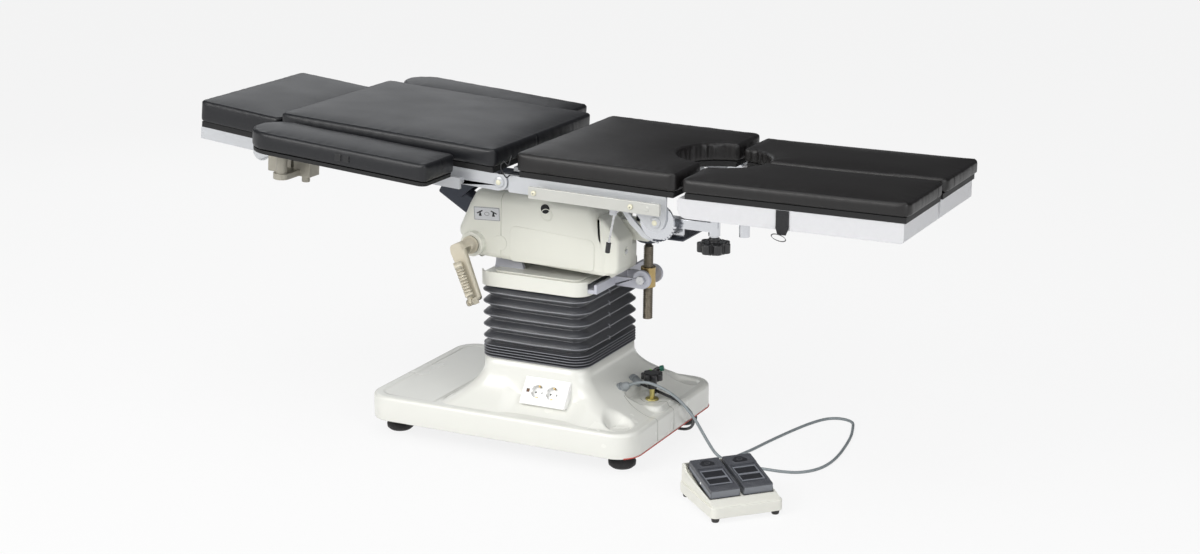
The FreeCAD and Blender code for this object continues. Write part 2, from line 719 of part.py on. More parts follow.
def housing_solid(inset):
    wire = rounded_wire(HOUSING_OUTLINE, lambda p: V(p.x, 0, p.y))
    face = Part.Face(wire)
    if inset:
        face = Part.Face(face.makeOffset2D(-inset).OuterWire)
    half = HOUSING_WIDTH / 2 - inset
    solid = face.extrude(V(0, 2 * half, 0))
    solid.translate(V(0, -half, 0))
    rims = [e for e in solid.Edges if abs(abs(e.CenterOfMass.y) - half) < 0.01 and e.BoundBox.YLength < 0.01
            and e.CenterOfMass.z > HOUSING_OPEN + 20]
    return solid.makeFillet(HOUSING_EDGE - inset, rims)


def housing_shell():
    """Whole moulded housing, open below, before it is parted at the seam."""
    shell = housing_solid(0).cut(housing_solid(HOUSING_WALL))
    half = HOUSING_WIDTH / 2 - HOUSING_WALL
    shell = shell.cut(side_plate([(-208, HOUSING_OPEN - 20, 0), (176, HOUSING_OPEN - 20, 0), (176, HOUSING_OPEN + 8, 0),
                                  (-208, HOUSING_OPEN + 18, 0)], -half, half))
    shell = shell.cut(box(SPINDLE_SLOT_X, 200, -SPINDLE_SLOT_Y, SPINDLE_SLOT_Y, SPINDLE_SLOT_Z, HOUSING_TOP + 10))
    shell = shell.cut(box(LATERAL_HEAD_X - 10, LATERAL_HEAD_X + 10, -18, 18, HOUSING_TOP - 12, HOUSING_TOP + 10))
    corner = box(CHEEK_X, 200, CHEEK_Y, 200, HOUSING_OPEN - 20, HOUSING_TOP + 10)
    return shell.cut(corner)


def housing_cover():
    shell = housing_shell().cut(box(-400, SEAM_X, -200, 200, 400, 800))
    ring = disc_across(EYE_X, EYE_Z, EYE_RADIUS, -HOUSING_WIDTH / 2 - 1.5, -HOUSING_WIDTH / 2)
    ring = ring.cut(disc_across(EYE_X, EYE_Z, EYE_RADIUS - 4, -200, -100))
    return at_seat(shell.cut(disc_across(TILT_X, TILT_Z, 20, -200, -130)).fuse(ring))


def crank_cover():
    shell = housing_shell().cut(box(SEAM_X - SEAM_GAP, 400, -200, 200, 400, 800))
    boss = disc_across(CRANK_X, CRANK_Z, BOSS_RADIUS, -HOUSING_WIDTH / 2 - BOSS_LENGTH, -HOUSING_WIDTH / 2 + 2)
    bore = disc_across(CRANK_X, CRANK_Z, CRANK_SHAFT + PIN_GAP, -220, -100)
    return at_seat(shell.fuse(boss).cut(bore))


def housing_frame():
    """Two long arms from the tilt pivot to the spindle, joined by blocks that carry the lateral pivot."""
    arms = []
    for side in (-1, 1):
        y0 = min(side * ARM_INNER, side * (ARM_INNER + FRAME_ARM))
        arm = side_plate([(CRANK_X - 14, CRANK_Z - 16, 8), (TILT_X + 40, TILT_Z - 30, 10), (110, SPINDLE_TOP - 25, 30),
                          (ARM_TIP_X, SPINDLE_TOP - 25, 14), (ARM_TIP_X, SPINDLE_TOP + 25, 14), (-205, 630, 20),
                          (CRANK_X - 26, CRANK_Z + 40, 20)], y0, y0 + FRAME_ARM)
        if side > 0:
            arm = arm.cut(box(CHEEK_X + 6, ARM_TIP_X - 48, y0 - 1, y0 + FRAME_ARM + 1, SPINDLE_TOP + 12, SPINDLE_TOP + 35))
        bearing = disc_across(TILT_X, TILT_Z, TILT_SHAFT_RADIUS + 8, side * ARM_INNER, side * BEARING_END)
        arms.append(arm.fuse(bearing))
    blocks = []
    for x in (LATERAL_HEAD_X, LATERAL_FOOT_X):
        block = box(x - 8, x + 8, -ARM_INNER - 1, ARM_INNER + 1, 606, 629)
        pillar = box(x - 8, x + 8, -LATERAL_RADIUS + 2, LATERAL_RADIUS - 2, 606, LATERAL_Z)
        ring = rod(LATERAL_RADIUS, (x - 8, 0, LATERAL_Z), (x + 8, 0, LATERAL_Z))
        blocks.append(fused([block, pillar, ring]).cut(rod(LATERAL_SHAFT + PIN_GAP, (x - 9, 0, LATERAL_Z),
                                                           (x + 9, 0, LATERAL_Z))))
    start = V(CRANK_X, 0, CRANK_Z)
    along = V(NUT_X, 0, SPINDLE_TOP) - start
    middle = start + along * DRIVE_BEARING
    blocks.append(box(middle.x - 7, middle.x + 7, -ARM_INNER - 1, ARM_INNER + 1, middle.z - 12, middle.z + 12))
    frame = fused(arms + blocks)
    frame = frame.cut(Part.makeCylinder(DRIVE_RADIUS + PIN_GAP, 60, middle - along * (30 / along.Length), along))
    frame = frame.cut(disc_across(TILT_X, TILT_Z, TILT_SHAFT_RADIUS + PIN_GAP, -200, 200))
    frame = frame.cut(disc_across(CRANK_X, CRANK_Z, CRANK_SHAFT + PIN_GAP, -200, -10))
    return at_seat(frame.cut(disc_across(NUT_X, SPINDLE_TOP, GEARBOX_PIN + PIN_GAP, -200, 200)))


def bevel(centre, along, near, far):
    """Smooth bevel gear blank on the axis through centre, from near to far along it."""
    along = V(*along)
    along.normalize()
    centre = V(*centre)
    return Part.makeCone((near - 1) * BEVEL_SLOPE, (far - 1) * BEVEL_SLOPE, far - near, centre + along * near, along)


def drive_shaft():
    start = V(CRANK_X, 0, CRANK_Z)
    end = V(NUT_X, 0, SPINDLE_TOP)
    along = end - start
    along.normalize()
    shaft = Part.makeCylinder(DRIVE_RADIUS, (end - start).Length - 2 * BEVEL_FAR + 4, start + along * (BEVEL_FAR - 2),
                              along)
    gears = [bevel(start, along, BEVEL_NEAR, BEVEL_FAR), bevel(end, -along, BEVEL_NEAR, BEVEL_FAR)]
    return at_seat(fused([shaft] + gears))


def crank_arm():
    """Drive stub with its bevel, hub, arm and forked lower end."""
    hub_start = -HOUSING_WIDTH / 2 - BOSS_LENGTH - SIDE_GAP
    shaft = disc_across(CRANK_X, CRANK_Z, CRANK_SHAFT, ARM_NEAR_Y, -BEVEL_FAR + 2)
    gear = bevel((CRANK_X, 0, CRANK_Z), (0, -1, 0), BEVEL_NEAR, BEVEL_FAR)
    ring = disc_across(CRANK_X, CRANK_Z, HUB_RADIUS + 5, hub_start - 8, hub_start)
    hub = disc_across(CRANK_X, CRANK_Z, HUB_RADIUS, ARM_NEAR_Y, hub_start)
    low = CRANK_Z - ARM_LENGTH
    arm = side_plate([(CRANK_X - 19, CRANK_Z, 18), (CRANK_X - 12, low - 4, 9), (CRANK_X + 12, low - 4, 9),
                      (CRANK_X + 19, CRANK_Z, 18), (CRANK_X + 14, CRANK_Z + 19, 12), (CRANK_X - 14, CRANK_Z + 19, 12)],
                     ARM_FAR_Y, ARM_NEAR_Y)
    ears = []
    for side in (-1, 1):
        x0 = CRANK_X + side * 8.5 - 3
        ear = box(x0, x0 + 6, HANDLE_Y, ARM_FAR_Y + 1, low - 9, low + 9)
        ears.append(ear.fuse(rod(9, (x0, HANDLE_Y, low), (x0 + 6, HANDLE_Y, low))))
    body = fused([shaft, gear, ring, hub, arm] + ears)
    body = body.cut(rod(HANDLE_PIN + PIN_GAP, (CRANK_X - 30, HANDLE_Y, low), (CRANK_X + 30, HANDLE_Y, low)))
    return at_crank(body)


def crank_handle():
    low = CRANK_Z - ARM_LENGTH
    tongue = box(CRANK_X - 5, CRANK_X + 5, HANDLE_Y - 7, HANDLE_Y + 7, low, low + 18)
    eye = rod(7, (CRANK_X - 5, HANDLE_Y, low), (CRANK_X + 5, HANDLE_Y, low))
    pin = rod(HANDLE_PIN, (CRANK_X - 11.5, HANDLE_Y, low), (CRANK_X + 11.5, HANDLE_Y, low))
    grip = rod(HANDLE_RADIUS, (CRANK_X, HANDLE_Y, low + 16), (CRANK_X, HANDLE_Y, low + HANDLE_LENGTH))
    for i in range(HANDLE_RIBS):
        z = low + 26 + i * 8
        groove = rod(HANDLE_RADIUS + 2, (CRANK_X, HANDLE_Y, z), (CRANK_X, HANDLE_Y, z + 3))
        grip = grip.cut(groove.cut(rod(HANDLE_RADIUS - 1.2, (CRANK_X, HANDLE_Y, z - 1), (CRANK_X, HANDLE_Y, z + 4))))
    return at_crank(fused([tongue, eye, pin, grip]))


def at_crank(shape):
    return at_seat(turned(shape, CRANK_X, CRANK_Z, -ARM_LEAN))


def spindle_gearbox():
    top = SPINDLE_TOP + 35
    cup = rod(GEARBOX_RADIUS, (NUT_X, 0, SPINDLE_TOP - 37), (NUT_X, 0, top))
    cup = cup.makeFillet(10, edges_at(cup, SPINDLE_TOP - 37))
    cup = cup.cut(rod(GEARBOX_RADIUS - 5, (NUT_X, 0, SPINDLE_TOP - 29), (NUT_X, 0, top - 5)))
    cup = cup.cut(rod(SHANK_RADIUS + PIN_GAP, (NUT_X, 0, SPINDLE_TOP - 50), (NUT_X, 0, SPINDLE_TOP)))
    cup = cup.cut(box(NUT_X - 60, NUT_X - 10, -DRIVE_RADIUS - 4, DRIVE_RADIUS + 4, SPINDLE_TOP - 20, SPINDLE_TOP + 14))
    pins = rod(GEARBOX_PIN, (NUT_X, GEARBOX_RADIUS - 4, SPINDLE_TOP), (NUT_X, ARM_INNER + FRAME_ARM, SPINDLE_TOP))
    return at_spindle(fused([cup, pins, mirrored(pins)]))


def at_spindle(shape):
    """Carried by the housing at the swing pivot, and hanging straight down to the nut."""
    shape = shape.copy()
    place = swing_point()
    shape.translate(place - V(NUT_X, 0, SPINDLE_TOP))
    return turned(shape, place.x, place.z, math.degrees(math.atan2(place.x - NUT_X, place.z - NUT_Z)))


def swing_point():
    """Resting place of the pivot on which the gearbox swings."""
    return at_seat(Part.Vertex(NUT_X, 0, SPINDLE_TOP)).Point


def spindle():
    drop = SPINDLE_TOP - swing_point().z
    gear = bevel((NUT_X, 0, SPINDLE_TOP), (0, 0, -1), BEVEL_NEAR, BEVEL_FAR)
    shank = rod(SHANK_RADIUS, (NUT_X, 0, THREAD_TOP + drop), (NUT_X, 0, SPINDLE_TOP - BEVEL_FAR + 2))
    thread = rod(SPINDLE_RADIUS, (NUT_X, 0, SPINDLE_END + drop), (NUT_X, 0, THREAD_TOP + drop))
    return at_spindle(fused([gear, shank, thread]))


def spindle_nut():
    middle = NUT_Z + SPINDLE_TOP - swing_point().z
    nut = rod(NUT_RADIUS, (NUT_X, 0, middle - NUT_HEIGHT / 2), (NUT_X, 0, middle + NUT_HEIGHT / 2))
    cheek = rod(BOLT_RADIUS, (NUT_X, 0, middle), (NUT_X, NUT_RADIUS + 1, middle))
    nut = fused([nut, cheek, mirrored(cheek)])
    bore = rod(SPINDLE_RADIUS + PIN_GAP, (NUT_X, 0, middle - 60), (NUT_X, 0, middle + 60))
    return at_spindle(nut.cut(bore))


def seat_frame():
    """Side plates with the leg ears, back hinge lugs, board, and lateral shaft between two hangers."""
    plate = side_plate([(SEAT_START, PLATE_TOP, 4), (SEAT_END, PLATE_TOP, 4), (SEAT_END, LEG_HINGE_Z, 20),
                        (LEG_HINGE_X, LEG_HINGE_Z - EAR, 20), (344, 678, 6), (311, 712, 10), (297, PLATE_BOTTOM, 6),
                        (SEAT_START, PLATE_BOTTOM, 4)], PLATE_Y - PLATE, PLATE_Y)
    plate = plate.fuse(disc_across(LEG_HINGE_X, LEG_HINGE_Z, EAR, PLATE_Y - PLATE, PLATE_Y))
    plate = plate.cut(disc_across(LEG_HINGE_X, LEG_HINGE_Z, HINGE_PIN, PLATE_Y - PLATE - 1, PLATE_Y + 1))
    lug = box(BACK_HINGE_X, SEAT_START + 60, LUG_Y, LUG_Y + LUG_PLATE, BACK_HINGE_Z - 21, PLATE_TOP - 1)
    lug = lug.fuse(disc_across(BACK_HINGE_X, BACK_HINGE_Z, EAR - 3, LUG_Y, LUG_Y + LUG_PLATE))
    lug = lug.fuse(box(SEAT_START + 4, SEAT_START + 60, LUG_Y, PLATE_Y - PLATE + 1, BACK_HINGE_Z - 21, PLATE_TOP - 1))
    lug = lug.cut(disc_across(BACK_HINGE_X, BACK_HINGE_Z, HINGE_PIN, LUG_Y - 1, PLATE_Y + 1))
    pieces = [plate, mirrored(plate), lug, mirrored(lug)]
    board = box(SEAT_PAD_START + BOARD_INSET, SEAT_PAD_END - BOARD_INSET, -TOP_HALF + BOARD_INSET, TOP_HALF - BOARD_INSET,
                PLATE_TOP, PLATE_TOP + BOARD)
    pieces.append(board.cut(rod(CUTOUT_RADIUS + 10, (CUTOUT_X, 0, 700), (CUTOUT_X, 0, 900))))
    for x, top in ((LATERAL_HEAD_X - 34, HANGER_TOP), (LATERAL_FOOT_X + 22, PLATE_TOP)):
        hanger = box(x, x + 12, -24, 24, LATERAL_Z + 8, top)
        pieces.append(hanger.fuse(rod(20, (x, 0, LATERAL_Z), (x + 12, 0, LATERAL_Z))))
    for x in (SEAT_START + 30, LATERAL_FOOT_X + 22):
        pieces.append(box(x, x + 12, -PLATE_Y + 1, PLATE_Y - 1, PLATE_BOTTOM + 1, PLATE_TOP))
    shaft = rod(LATERAL_SHAFT, (LATERAL_HEAD_X - 34, 0, LATERAL_Z), (LATERAL_FOOT_X + 34, 0, LATERAL_Z))
    beam = box(LATERAL_HEAD_X - 34, SEAT_START + 40, -60, 60, PLATE_BOTTOM + 2, HANGER_TOP)
    pieces += [shaft, beam]
    for side in (-1, 1):
        guard = side_plate([(250, PLATE_BOTTOM + 6, 0), (266, PLATE_BOTTOM + 6, 0), (296, 692, 12), (328, 662, 12),
                            (LEG_HINGE_X, 650, 0), (LEG_HINGE_X, 638, 0), (322, 648, 12), (286, 680, 12)],
                           GUARD_Y, GUARD_Y + 8)
        arm = box(252, 264, GUARD_Y + 2, PLATE_Y - PLATE + 1, PLATE_BOTTOM, PLATE_BOTTOM + 20)
        guard = guard.fuse(arm)
        pieces.append(guard if side > 0 else mirrored(guard))
    lever_pin = rod(LEVER_PIN, (LEVER_X, -PLATE_Y + PLATE, LEVER_Z), (LEVER_X, -LEVER_Y, LEVER_Z))
    lever_lug = box(LEVER_X - 9, LEVER_X + 9, -PLATE_Y, -PLATE_Y + PLATE, LEVER_Z - 9, PLATE_BOTTOM + 2)
    return at_seat(fused(pieces + [lever_pin.fuse(lever_lug)]))


def seat_rails():
    rails = []
    for side in (-1, 1):
        inner = side * (RAIL_Y - RAIL_THICKNESS)
        rail = box(RAIL_START, RAIL_END, min(inner, side * RAIL_Y), max(inner, side * RAIL_Y), RAIL_TOP - RAIL_HEIGHT,
                   RAIL_TOP)
        for x in RAIL_SCREWS:
            rail = rail.fuse(rod(9, (x, side * PLATE_Y, RAIL_TOP - RAIL_HEIGHT / 2), (x, inner, RAIL_TOP - RAIL_HEIGHT / 2)))
            rail = rail.fuse(rod(6, (x, side * RAIL_Y, RAIL_TOP - RAIL_HEIGHT / 2),
                                 (x, side * (RAIL_Y + 1.5), RAIL_TOP - RAIL_HEIGHT / 2)))
        rails.append(rail.removeSplitter())
    return at_seat(Part.makeCompound(rails))


def seat_pad():
    half = TOP_HALF
    pad = plan_plate([(SEAT_PAD_START, -half, PAD_CORNER), (SEAT_PAD_END, -half, PAD_CORNER),
                      (SEAT_PAD_END, half, PAD_CORNER), (SEAT_PAD_START, half, PAD_CORNER)], PAD_BOTTOM, PAD_TOP)
    pad = pad.cut(rod(CUTOUT_RADIUS, (CUTOUT_X, 0, 700), (CUTOUT_X, 0, 900)))
    return at_seat(cushion(pad))


def hinge_pins():
    pins = []
    for x, z, inner in ((BACK_HINGE_X, BACK_HINGE_Z, LUG_Y - 2), (LEG_HINGE_X, LEG_HINGE_Z, HUB_Y - 3)):
        pin = rod(HINGE_PIN, (x, inner, z), (x, PLATE_Y + 0.4, z))
        head = disc_across(x, z, HINGE_PIN + 6, PLATE_Y + 0.4, PLATE_Y + 3)
        dome = Part.makeCone(HINGE_PIN + 6, HINGE_PIN, 3, V(x, PLATE_Y + 3, z), V(0, 1, 0))
        pins.append(fused([pin, head, dome]))
    return at_seat(Part.makeCompound([both_sides(p) for p in pins]))


def back_drive_unit():
    """Inclined drive block below the back section, on two arms from the seat frame."""
    block = box(-DRIVE_LENGTH / 2, DRIVE_LENGTH / 2, -DRIVE_HALF, DRIVE_HALF, -DRIVE_HEIGHT / 2, DRIVE_HEIGHT / 2)
    block = block.makeFillet(6, block.Edges)
    nose = rod(17, (DRIVE_LENGTH / 2 - 4, 0, 0), (DRIVE_LENGTH / 2 + 12, 0, 0))
    block = block.fuse(nose)
    block.rotate(V(0, 0, 0), V(0, 1, 0), DRIVE_LEAN)
    block.translate(V(DRIVE_X, 0, DRIVE_Z))
    pieces = [block]
    for side in (-1, 1):
        y0 = min(side * ARM_LOW_Y, side * (ARM_LOW_Y + 8))
        arm = side_plate([(LATERAL_HEAD_X - 34, 708, 0), (-250, 706, 16), (-330, 664, 10), (-344, 628, 4), (-326, 622, 4),
                          (-244, 692, 16), (LATERAL_HEAD_X - 34, 694, 0)], y0, y0 + 8)
        pieces.append(arm)
    return at_seat(fused(pieces))


def release_lever():
    hub = disc_across(LEVER_X, LEVER_Z, 8, -PLATE_Y + PLATE + SIDE_GAP, -LEVER_Y)
    hub = hub.cut(disc_across(LEVER_X, LEVER_Z, LEVER_PIN + PIN_GAP, -300, -200))
    stem = rod(3, (LEVER_X - 2, -LEVER_Y - 4, LEVER_Z - 6), (LEVER_X - 24, -LEVER_Y + 10, LEVER_Z - 96))
    tip = rod(6.5, (LEVER_X - 23, -LEVER_Y + 9, LEVER_Z - 90), (LEVER_X - 27, -LEVER_Y + 12, LEVER_Z - 116))
    return at_seat(fused([hub, stem, tip]))


def antistatic_cord():
    """Thin loop that hangs from the foot corner of the back edge of the seat board."""
    y = -TOP_HALF
    points = [(-44, y + 11.7, 768), (-44, y - 7, 770), (-47, y - 10, 802), (-37, y - 11, 824)]
    wire = Part.makePolygon([V(*p) for p in points])
    loop = wire.makePipeShell([Part.Wire(Part.makeCircle(2, V(*points[0]), V(*points[1]) - V(*points[0])))], True, False, 2)
    return at_seat(loop)


def back_frame():
    """Side plates with hinge ears, cross plates, board, drop lugs for the head section, and side rails."""
    plate = side_plate([(BACK_FRAME_END, PLATE_TOP, 4), (BACK_HINGE_X, PLATE_TOP, 0), (BACK_HINGE_X, PLATE_BOTTOM, 0),
                        (BACK_FRAME_END, PLATE_BOTTOM, 4)], PLATE_Y - PLATE, PLATE_Y)
    plate = plate.fuse(disc_across(BACK_HINGE_X, BACK_HINGE_Z, BACK_EAR, PLATE_Y - PLATE, PLATE_Y))
    plate = plate.cut(box(BACK_HINGE_X + BACK_EAR, 0, PLATE_Y - PLATE - 1, PLATE_Y + 1, 700, 800))
    plate = plate.cut(disc_across(BACK_HINGE_X, BACK_HINGE_Z, HINGE_PIN + PIN_GAP, PLATE_Y - PLATE - 1, PLATE_Y + 1))
    pieces = [plate, mirrored(plate)]
    for x, depth in BACK_BEAMS:
        pieces.append(box(x, x + 10, -PLATE_Y + 1, PLATE_Y - 1, PLATE_TOP - depth, PLATE_TOP))
    pieces.append(box(BACK_PAD_END - BACK_PAD_LENGTH + BOARD_INSET, BACK_PAD_END - BOARD_INSET, -TOP_HALF + BOARD_INSET,
                      TOP_HALF - BOARD_INSET, PLATE_TOP, PLATE_TOP + BOARD))
    lug = side_plate([(BACK_FRAME_END + 2, 735, 0), (BACK_FRAME_END + 24, 735, 0), (BACK_FRAME_END + 24, PLATE_BOTTOM + 9, 0),
                      (HEAD_HINGE_X, HEAD_HINGE_Z - 20, 0), (HEAD_HINGE_X, HEAD_HINGE_Z + 19, 0)], HEAD_LUG_Y,
                     HEAD_LUG_Y + PLATE)
    lug = lug.fuse(disc_across(HEAD_HINGE_X, HEAD_HINGE_Z, 20, HEAD_LUG_Y, HEAD_LUG_Y + PLATE))
    pin = rod(HINGE_PIN, (HEAD_HINGE_X, HEAD_LUG_Y + 1, HEAD_HINGE_Z), (HEAD_HINGE_X, HEAD_PLATE_Y - PLATE - 2, HEAD_HINGE_Z))
    lug = lug.fuse(pin)
    pieces += [lug, mirrored(lug)]
    for side in (-1, 1):
        inner = side * (RAIL_Y - RAIL_THICKNESS)
        rail = box(BACK_RAIL_START, BACK_RAIL_END, min(inner, side * RAIL_Y), max(inner, side * RAIL_Y),
                   BACK_RAIL_TOP - RAIL_HEIGHT, BACK_RAIL_TOP)
        for x in BACK_RAIL_SCREWS:
            z = BACK_RAIL_TOP - RAIL_HEIGHT / 2
            rail = rail.fuse(rod(9, (x, side * (PLATE_Y - 1), z), (x, inner, z)))
        pieces.append(rail)
    return at_back(fused(pieces))


def back_pad():
    x0 = BACK_PAD_END - BACK_PAD_LENGTH
    pad = plan_plate([(x0, -TOP_HALF, PAD_CORNER), (BACK_PAD_END, -TOP_HALF, PAD_CORNER),
                      (BACK_PAD_END, TOP_HALF, PAD_CORNER), (x0, TOP_HALF, PAD_CORNER)], PAD_BOTTOM, BACK_PAD_TOP)
    return at_back(cushion(pad))


def head_frame():
    z0 = HEAD_HINGE_Z + HEAD_PLATE_BOTTOM
    z1 = HEAD_HINGE_Z + HEAD_PLATE_TOP
    x0 = HEAD_HINGE_X - HEAD_LENGTH
    plate = box(x0, HEAD_HINGE_X, HEAD_PLATE_Y - PLATE, HEAD_PLATE_Y, z0, z1)
    plate = plate.fuse(disc_across(HEAD_HINGE_X, HEAD_HINGE_Z, HEAD_EAR, HEAD_PLATE_Y - PLATE, HEAD_PLATE_Y))
    plate = plate.cut(disc_across(HEAD_HINGE_X, HEAD_HINGE_Z, HINGE_PIN + PIN_GAP, 200, 300))
    pieces = [plate, mirrored(plate)]
    for x in (x0 + 6, HEAD_HINGE_X - 40):
        pieces.append(box(x, x + 8, -HEAD_PLATE_Y + 1, HEAD_PLATE_Y - 1, z0 + 4, z1))
    pieces.append(box(x0 + 2, HEAD_HINGE_X + HEAD_PAD_END - 8, -HEAD_HALF + BOARD_INSET, HEAD_HALF - BOARD_INSET, z1,
                      HEAD_HINGE_Z + HEAD_PAD_BOTTOM - PAD_SEAT))
    return at_head(fused(pieces))


def head_pad():
    x0 = HEAD_HINGE_X - HEAD_LENGTH - 6
    x1 = HEAD_HINGE_X + HEAD_PAD_END
    pad = plan_plate([(x0, -HEAD_HALF, PAD_CORNER), (x1, -HEAD_HALF, PAD_CORNER), (x1, HEAD_HALF, PAD_CORNER),
                      (x0, HEAD_HALF, PAD_CORNER)], HEAD_HINGE_Z + HEAD_PAD_BOTTOM, HEAD_HINGE_Z + HEAD_PAD_TOP)
    return at_head(cushion(pad))


def arm_outline(side, inset, z0, z1):
    half = ARM_HALF - inset
    end = ARM_X + ARM_REACH - inset
    y = side * ARM_Y
    body = plan_plate([(ARM_X, y - half, 0), (end, y - half, 20), (end, y + half, 20), (ARM_X, y + half, 0)], z0, z1)
    return body.fuse(rod(half, (ARM_X, y, z0), (ARM_X, y, z1))).removeSplitter()


def armboard(side):
    board = arm_outline(side, 6, ARM_BOARD_BOTTOM, ARM_BOARD_BOTTOM + ARM_BOARD)
    y = side * ARM_Y
    boss = rod(20, (ARM_X, y, ARM_BOARD_BOTTOM - 12), (ARM_X, y, ARM_BOARD_BOTTOM))
    board = board.fuse(boss)
    return at_arm(board.cut(rod(ARM_POST_RADIUS + PIN_GAP, (ARM_X, y, ARM_BOARD_BOTTOM - 20),
                                (ARM_X, y, ARM_BOARD_BOTTOM + ARM_BOARD - 3))))


def armboard_pad(side):
    bottom = ARM_BOARD_BOTTOM + ARM_BOARD + PAD_SEAT
    return at_arm(cushion(arm_outline(side, 0, bottom, ARM_PAD_TOP), 9))


def armboard_clamps():
    """Rail clamps below the back rails, each with an arm to the post that carries the board."""
    pieces = []
    outer = RAIL_Y + 22
    for side in (-1, 1):
        body = []
        for x0, x1 in CLAMP_SPANS:
            body.append(box(x0, x1, RAIL_Y - 25, outer, CLAMP_BOTTOM + 18, BACK_RAIL_TOP - RAIL_HEIGHT - SIDE_GAP))
            body.append(box(x0, x1, RAIL_Y + 0.4, outer, CLAMP_BOTTOM + 18, BACK_RAIL_TOP - 8))
            body.append(rod(11, ((x0 + x1) / 2, RAIL_Y, CLAMP_BOTTOM), ((x0 + x1) / 2, RAIL_Y, CLAMP_BOTTOM + 20)))
        body.append(box(CLAMP_SPANS[0][0] + 10, CLAMP_SPANS[1][1] - 10, RAIL_Y, outer, CLAMP_BOTTOM + 20,
                        CLAMP_BOTTOM + 36))
        body.append(box(ARM_X - 22, ARM_X + 22, RAIL_Y + 10, ARM_Y, CLAMP_BOTTOM + 20, CLAMP_BOTTOM + 36))
        body.append(rod(22, (ARM_X, ARM_Y, CLAMP_BOTTOM + 20), (ARM_X, ARM_Y, CLAMP_BOTTOM + 36)))
        body.append(rod(15, (ARM_X, ARM_Y, CLAMP_BOTTOM + 20), (ARM_X, ARM_Y, ARM_BOARD_BOTTOM - 12.5)))
        clamp = fused(body)
        post = rod(ARM_POST_RADIUS, (ARM_X, ARM_Y, ARM_BOARD_BOTTOM - 20), (ARM_X, ARM_Y, ARM_BOARD_BOTTOM + 5))
        clamp = at_back(clamp).fuse(at_arm(post))
        pieces.append(clamp if side > 0 else mirrored(clamp))
    return Part.makeCompound(pieces)


def at_side(side, shape):
    """Legs are drawn on the far side; the near one is its mirror image."""
    shape = at_leg(shape)
    return shape if side > 0 else mirrored(shape)


def leg_carrier(side):
    """Toothed quadrant on the hinge, short bar and the upright socket for the leg's post."""
    hub = disc_across(LEG_HINGE_X, LEG_HINGE_Z, QUADRANT_RADIUS, HUB_Y, HUB_Y + HUB_PLATE)
    for i in range(QUADRANT_TEETH):
        a = math.radians(QUADRANT_START + i * QUADRANT_STEP)
        tooth = box(QUADRANT_RADIUS - 3, QUADRANT_RADIUS + TOOTH_DEPTH, HUB_Y, HUB_Y + HUB_PLATE, -3, 3)
        tooth.rotate(V(0, 0, 0), V(0, 1, 0), -math.degrees(a))
        tooth.translate(V(LEG_HINGE_X, 0, LEG_HINGE_Z))
        hub = hub.fuse(tooth)
    sleeve = disc_across(LEG_HINGE_X, LEG_HINGE_Z, 16, POST_Y - 15, HUB_Y + 1)
    bar = side_plate([(LEG_HINGE_X, SOCKET_BOTTOM + 12, 0), (POST_X, SOCKET_BOTTOM + 12, 0), (POST_X, SOCKET_TOP - 9, 0),
                      (LEG_HINGE_X, SOCKET_TOP - 9, 0)], POST_Y - 15, POST_Y + 15)
    socket = rod(SOCKET_RADIUS, (POST_X, POST_Y, SOCKET_BOTTOM), (POST_X, POST_Y, SOCKET_TOP))
    foot = box(LEG_HINGE_X - 2, LEG_HINGE_X + 60, 110, POST_Y + 15, 646, 650)
    web = box(LEG_HINGE_X + 10, LEG_HINGE_X + 50, POST_Y - 15, POST_Y - 7, 646, SOCKET_BOTTOM + 14)
    carrier = fused([hub, sleeve, bar, socket, foot, web])
    carrier = carrier.cut(disc_across(LEG_HINGE_X, LEG_HINGE_Z, HINGE_PIN + PIN_GAP, HUB_Y - 4, PLATE_Y + 1))
    carrier = carrier.cut(rod(POST_RADIUS + PIN_GAP, (POST_X, POST_Y, 600), (POST_X, POST_Y, 760)))
    return at_side(side, carrier)


def leg_frame(side):
    """Shallow inverted tray with its post and a second stub below it."""
    outline = side_plate([(LEG_START, LEG_TOP, 4), (LEG_END, LEG_TOP, 4), (LEG_END, LEG_BOTTOM, 8),
                          (LEG_START, LEG_BOTTOM, 25)], LEG_INNER, PLATE_Y)
    hollow = box(LEG_START + LEG_WALL, LEG_END - LEG_WALL, LEG_INNER + LEG_WALL, PLATE_Y - LEG_WALL, LEG_BOTTOM - 5,
                 LEG_TOP - LEG_WALL)
    round_end = rod(CUTOUT_RADIUS + 10, (CUTOUT_X, 0, 600), (CUTOUT_X, 0, 900))
    curved_wall = rod(CUTOUT_RADIUS + 10 + LEG_WALL, (CUTOUT_X, 0, 600), (CUTOUT_X, 0, 900))
    tray = outline.cut(hollow.cut(curved_wall)).cut(round_end)
    board = box(LEG_PAD_START + BOARD_INSET, LEG_PAD_END - BOARD_INSET, LEG_INNER, TOP_HALF - BOARD_INSET, LEG_TOP,
                LEG_TOP + BOARD)
    post = rod(POST_RADIUS, (POST_X, POST_Y, SOCKET_BOTTOM - 4), (POST_X, POST_Y, LEG_TOP - 2))
    collar = rod(POST_RADIUS + 6, (POST_X, POST_Y, SOCKET_TOP + 0.5), (POST_X, POST_Y, LEG_TOP - 2))
    pin = rod(LEG_PIN, (POST_X, POST_Y, KNOB_BOTTOM + 4), (POST_X, POST_Y, SOCKET_BOTTOM))
    stub = rod(13.5, (STUB_X, POST_Y, STUB_BOTTOM), (STUB_X, POST_Y, LEG_TOP - 2))
    return at_side(side, fused([tray, board.cut(round_end), post, collar, pin, stub]))


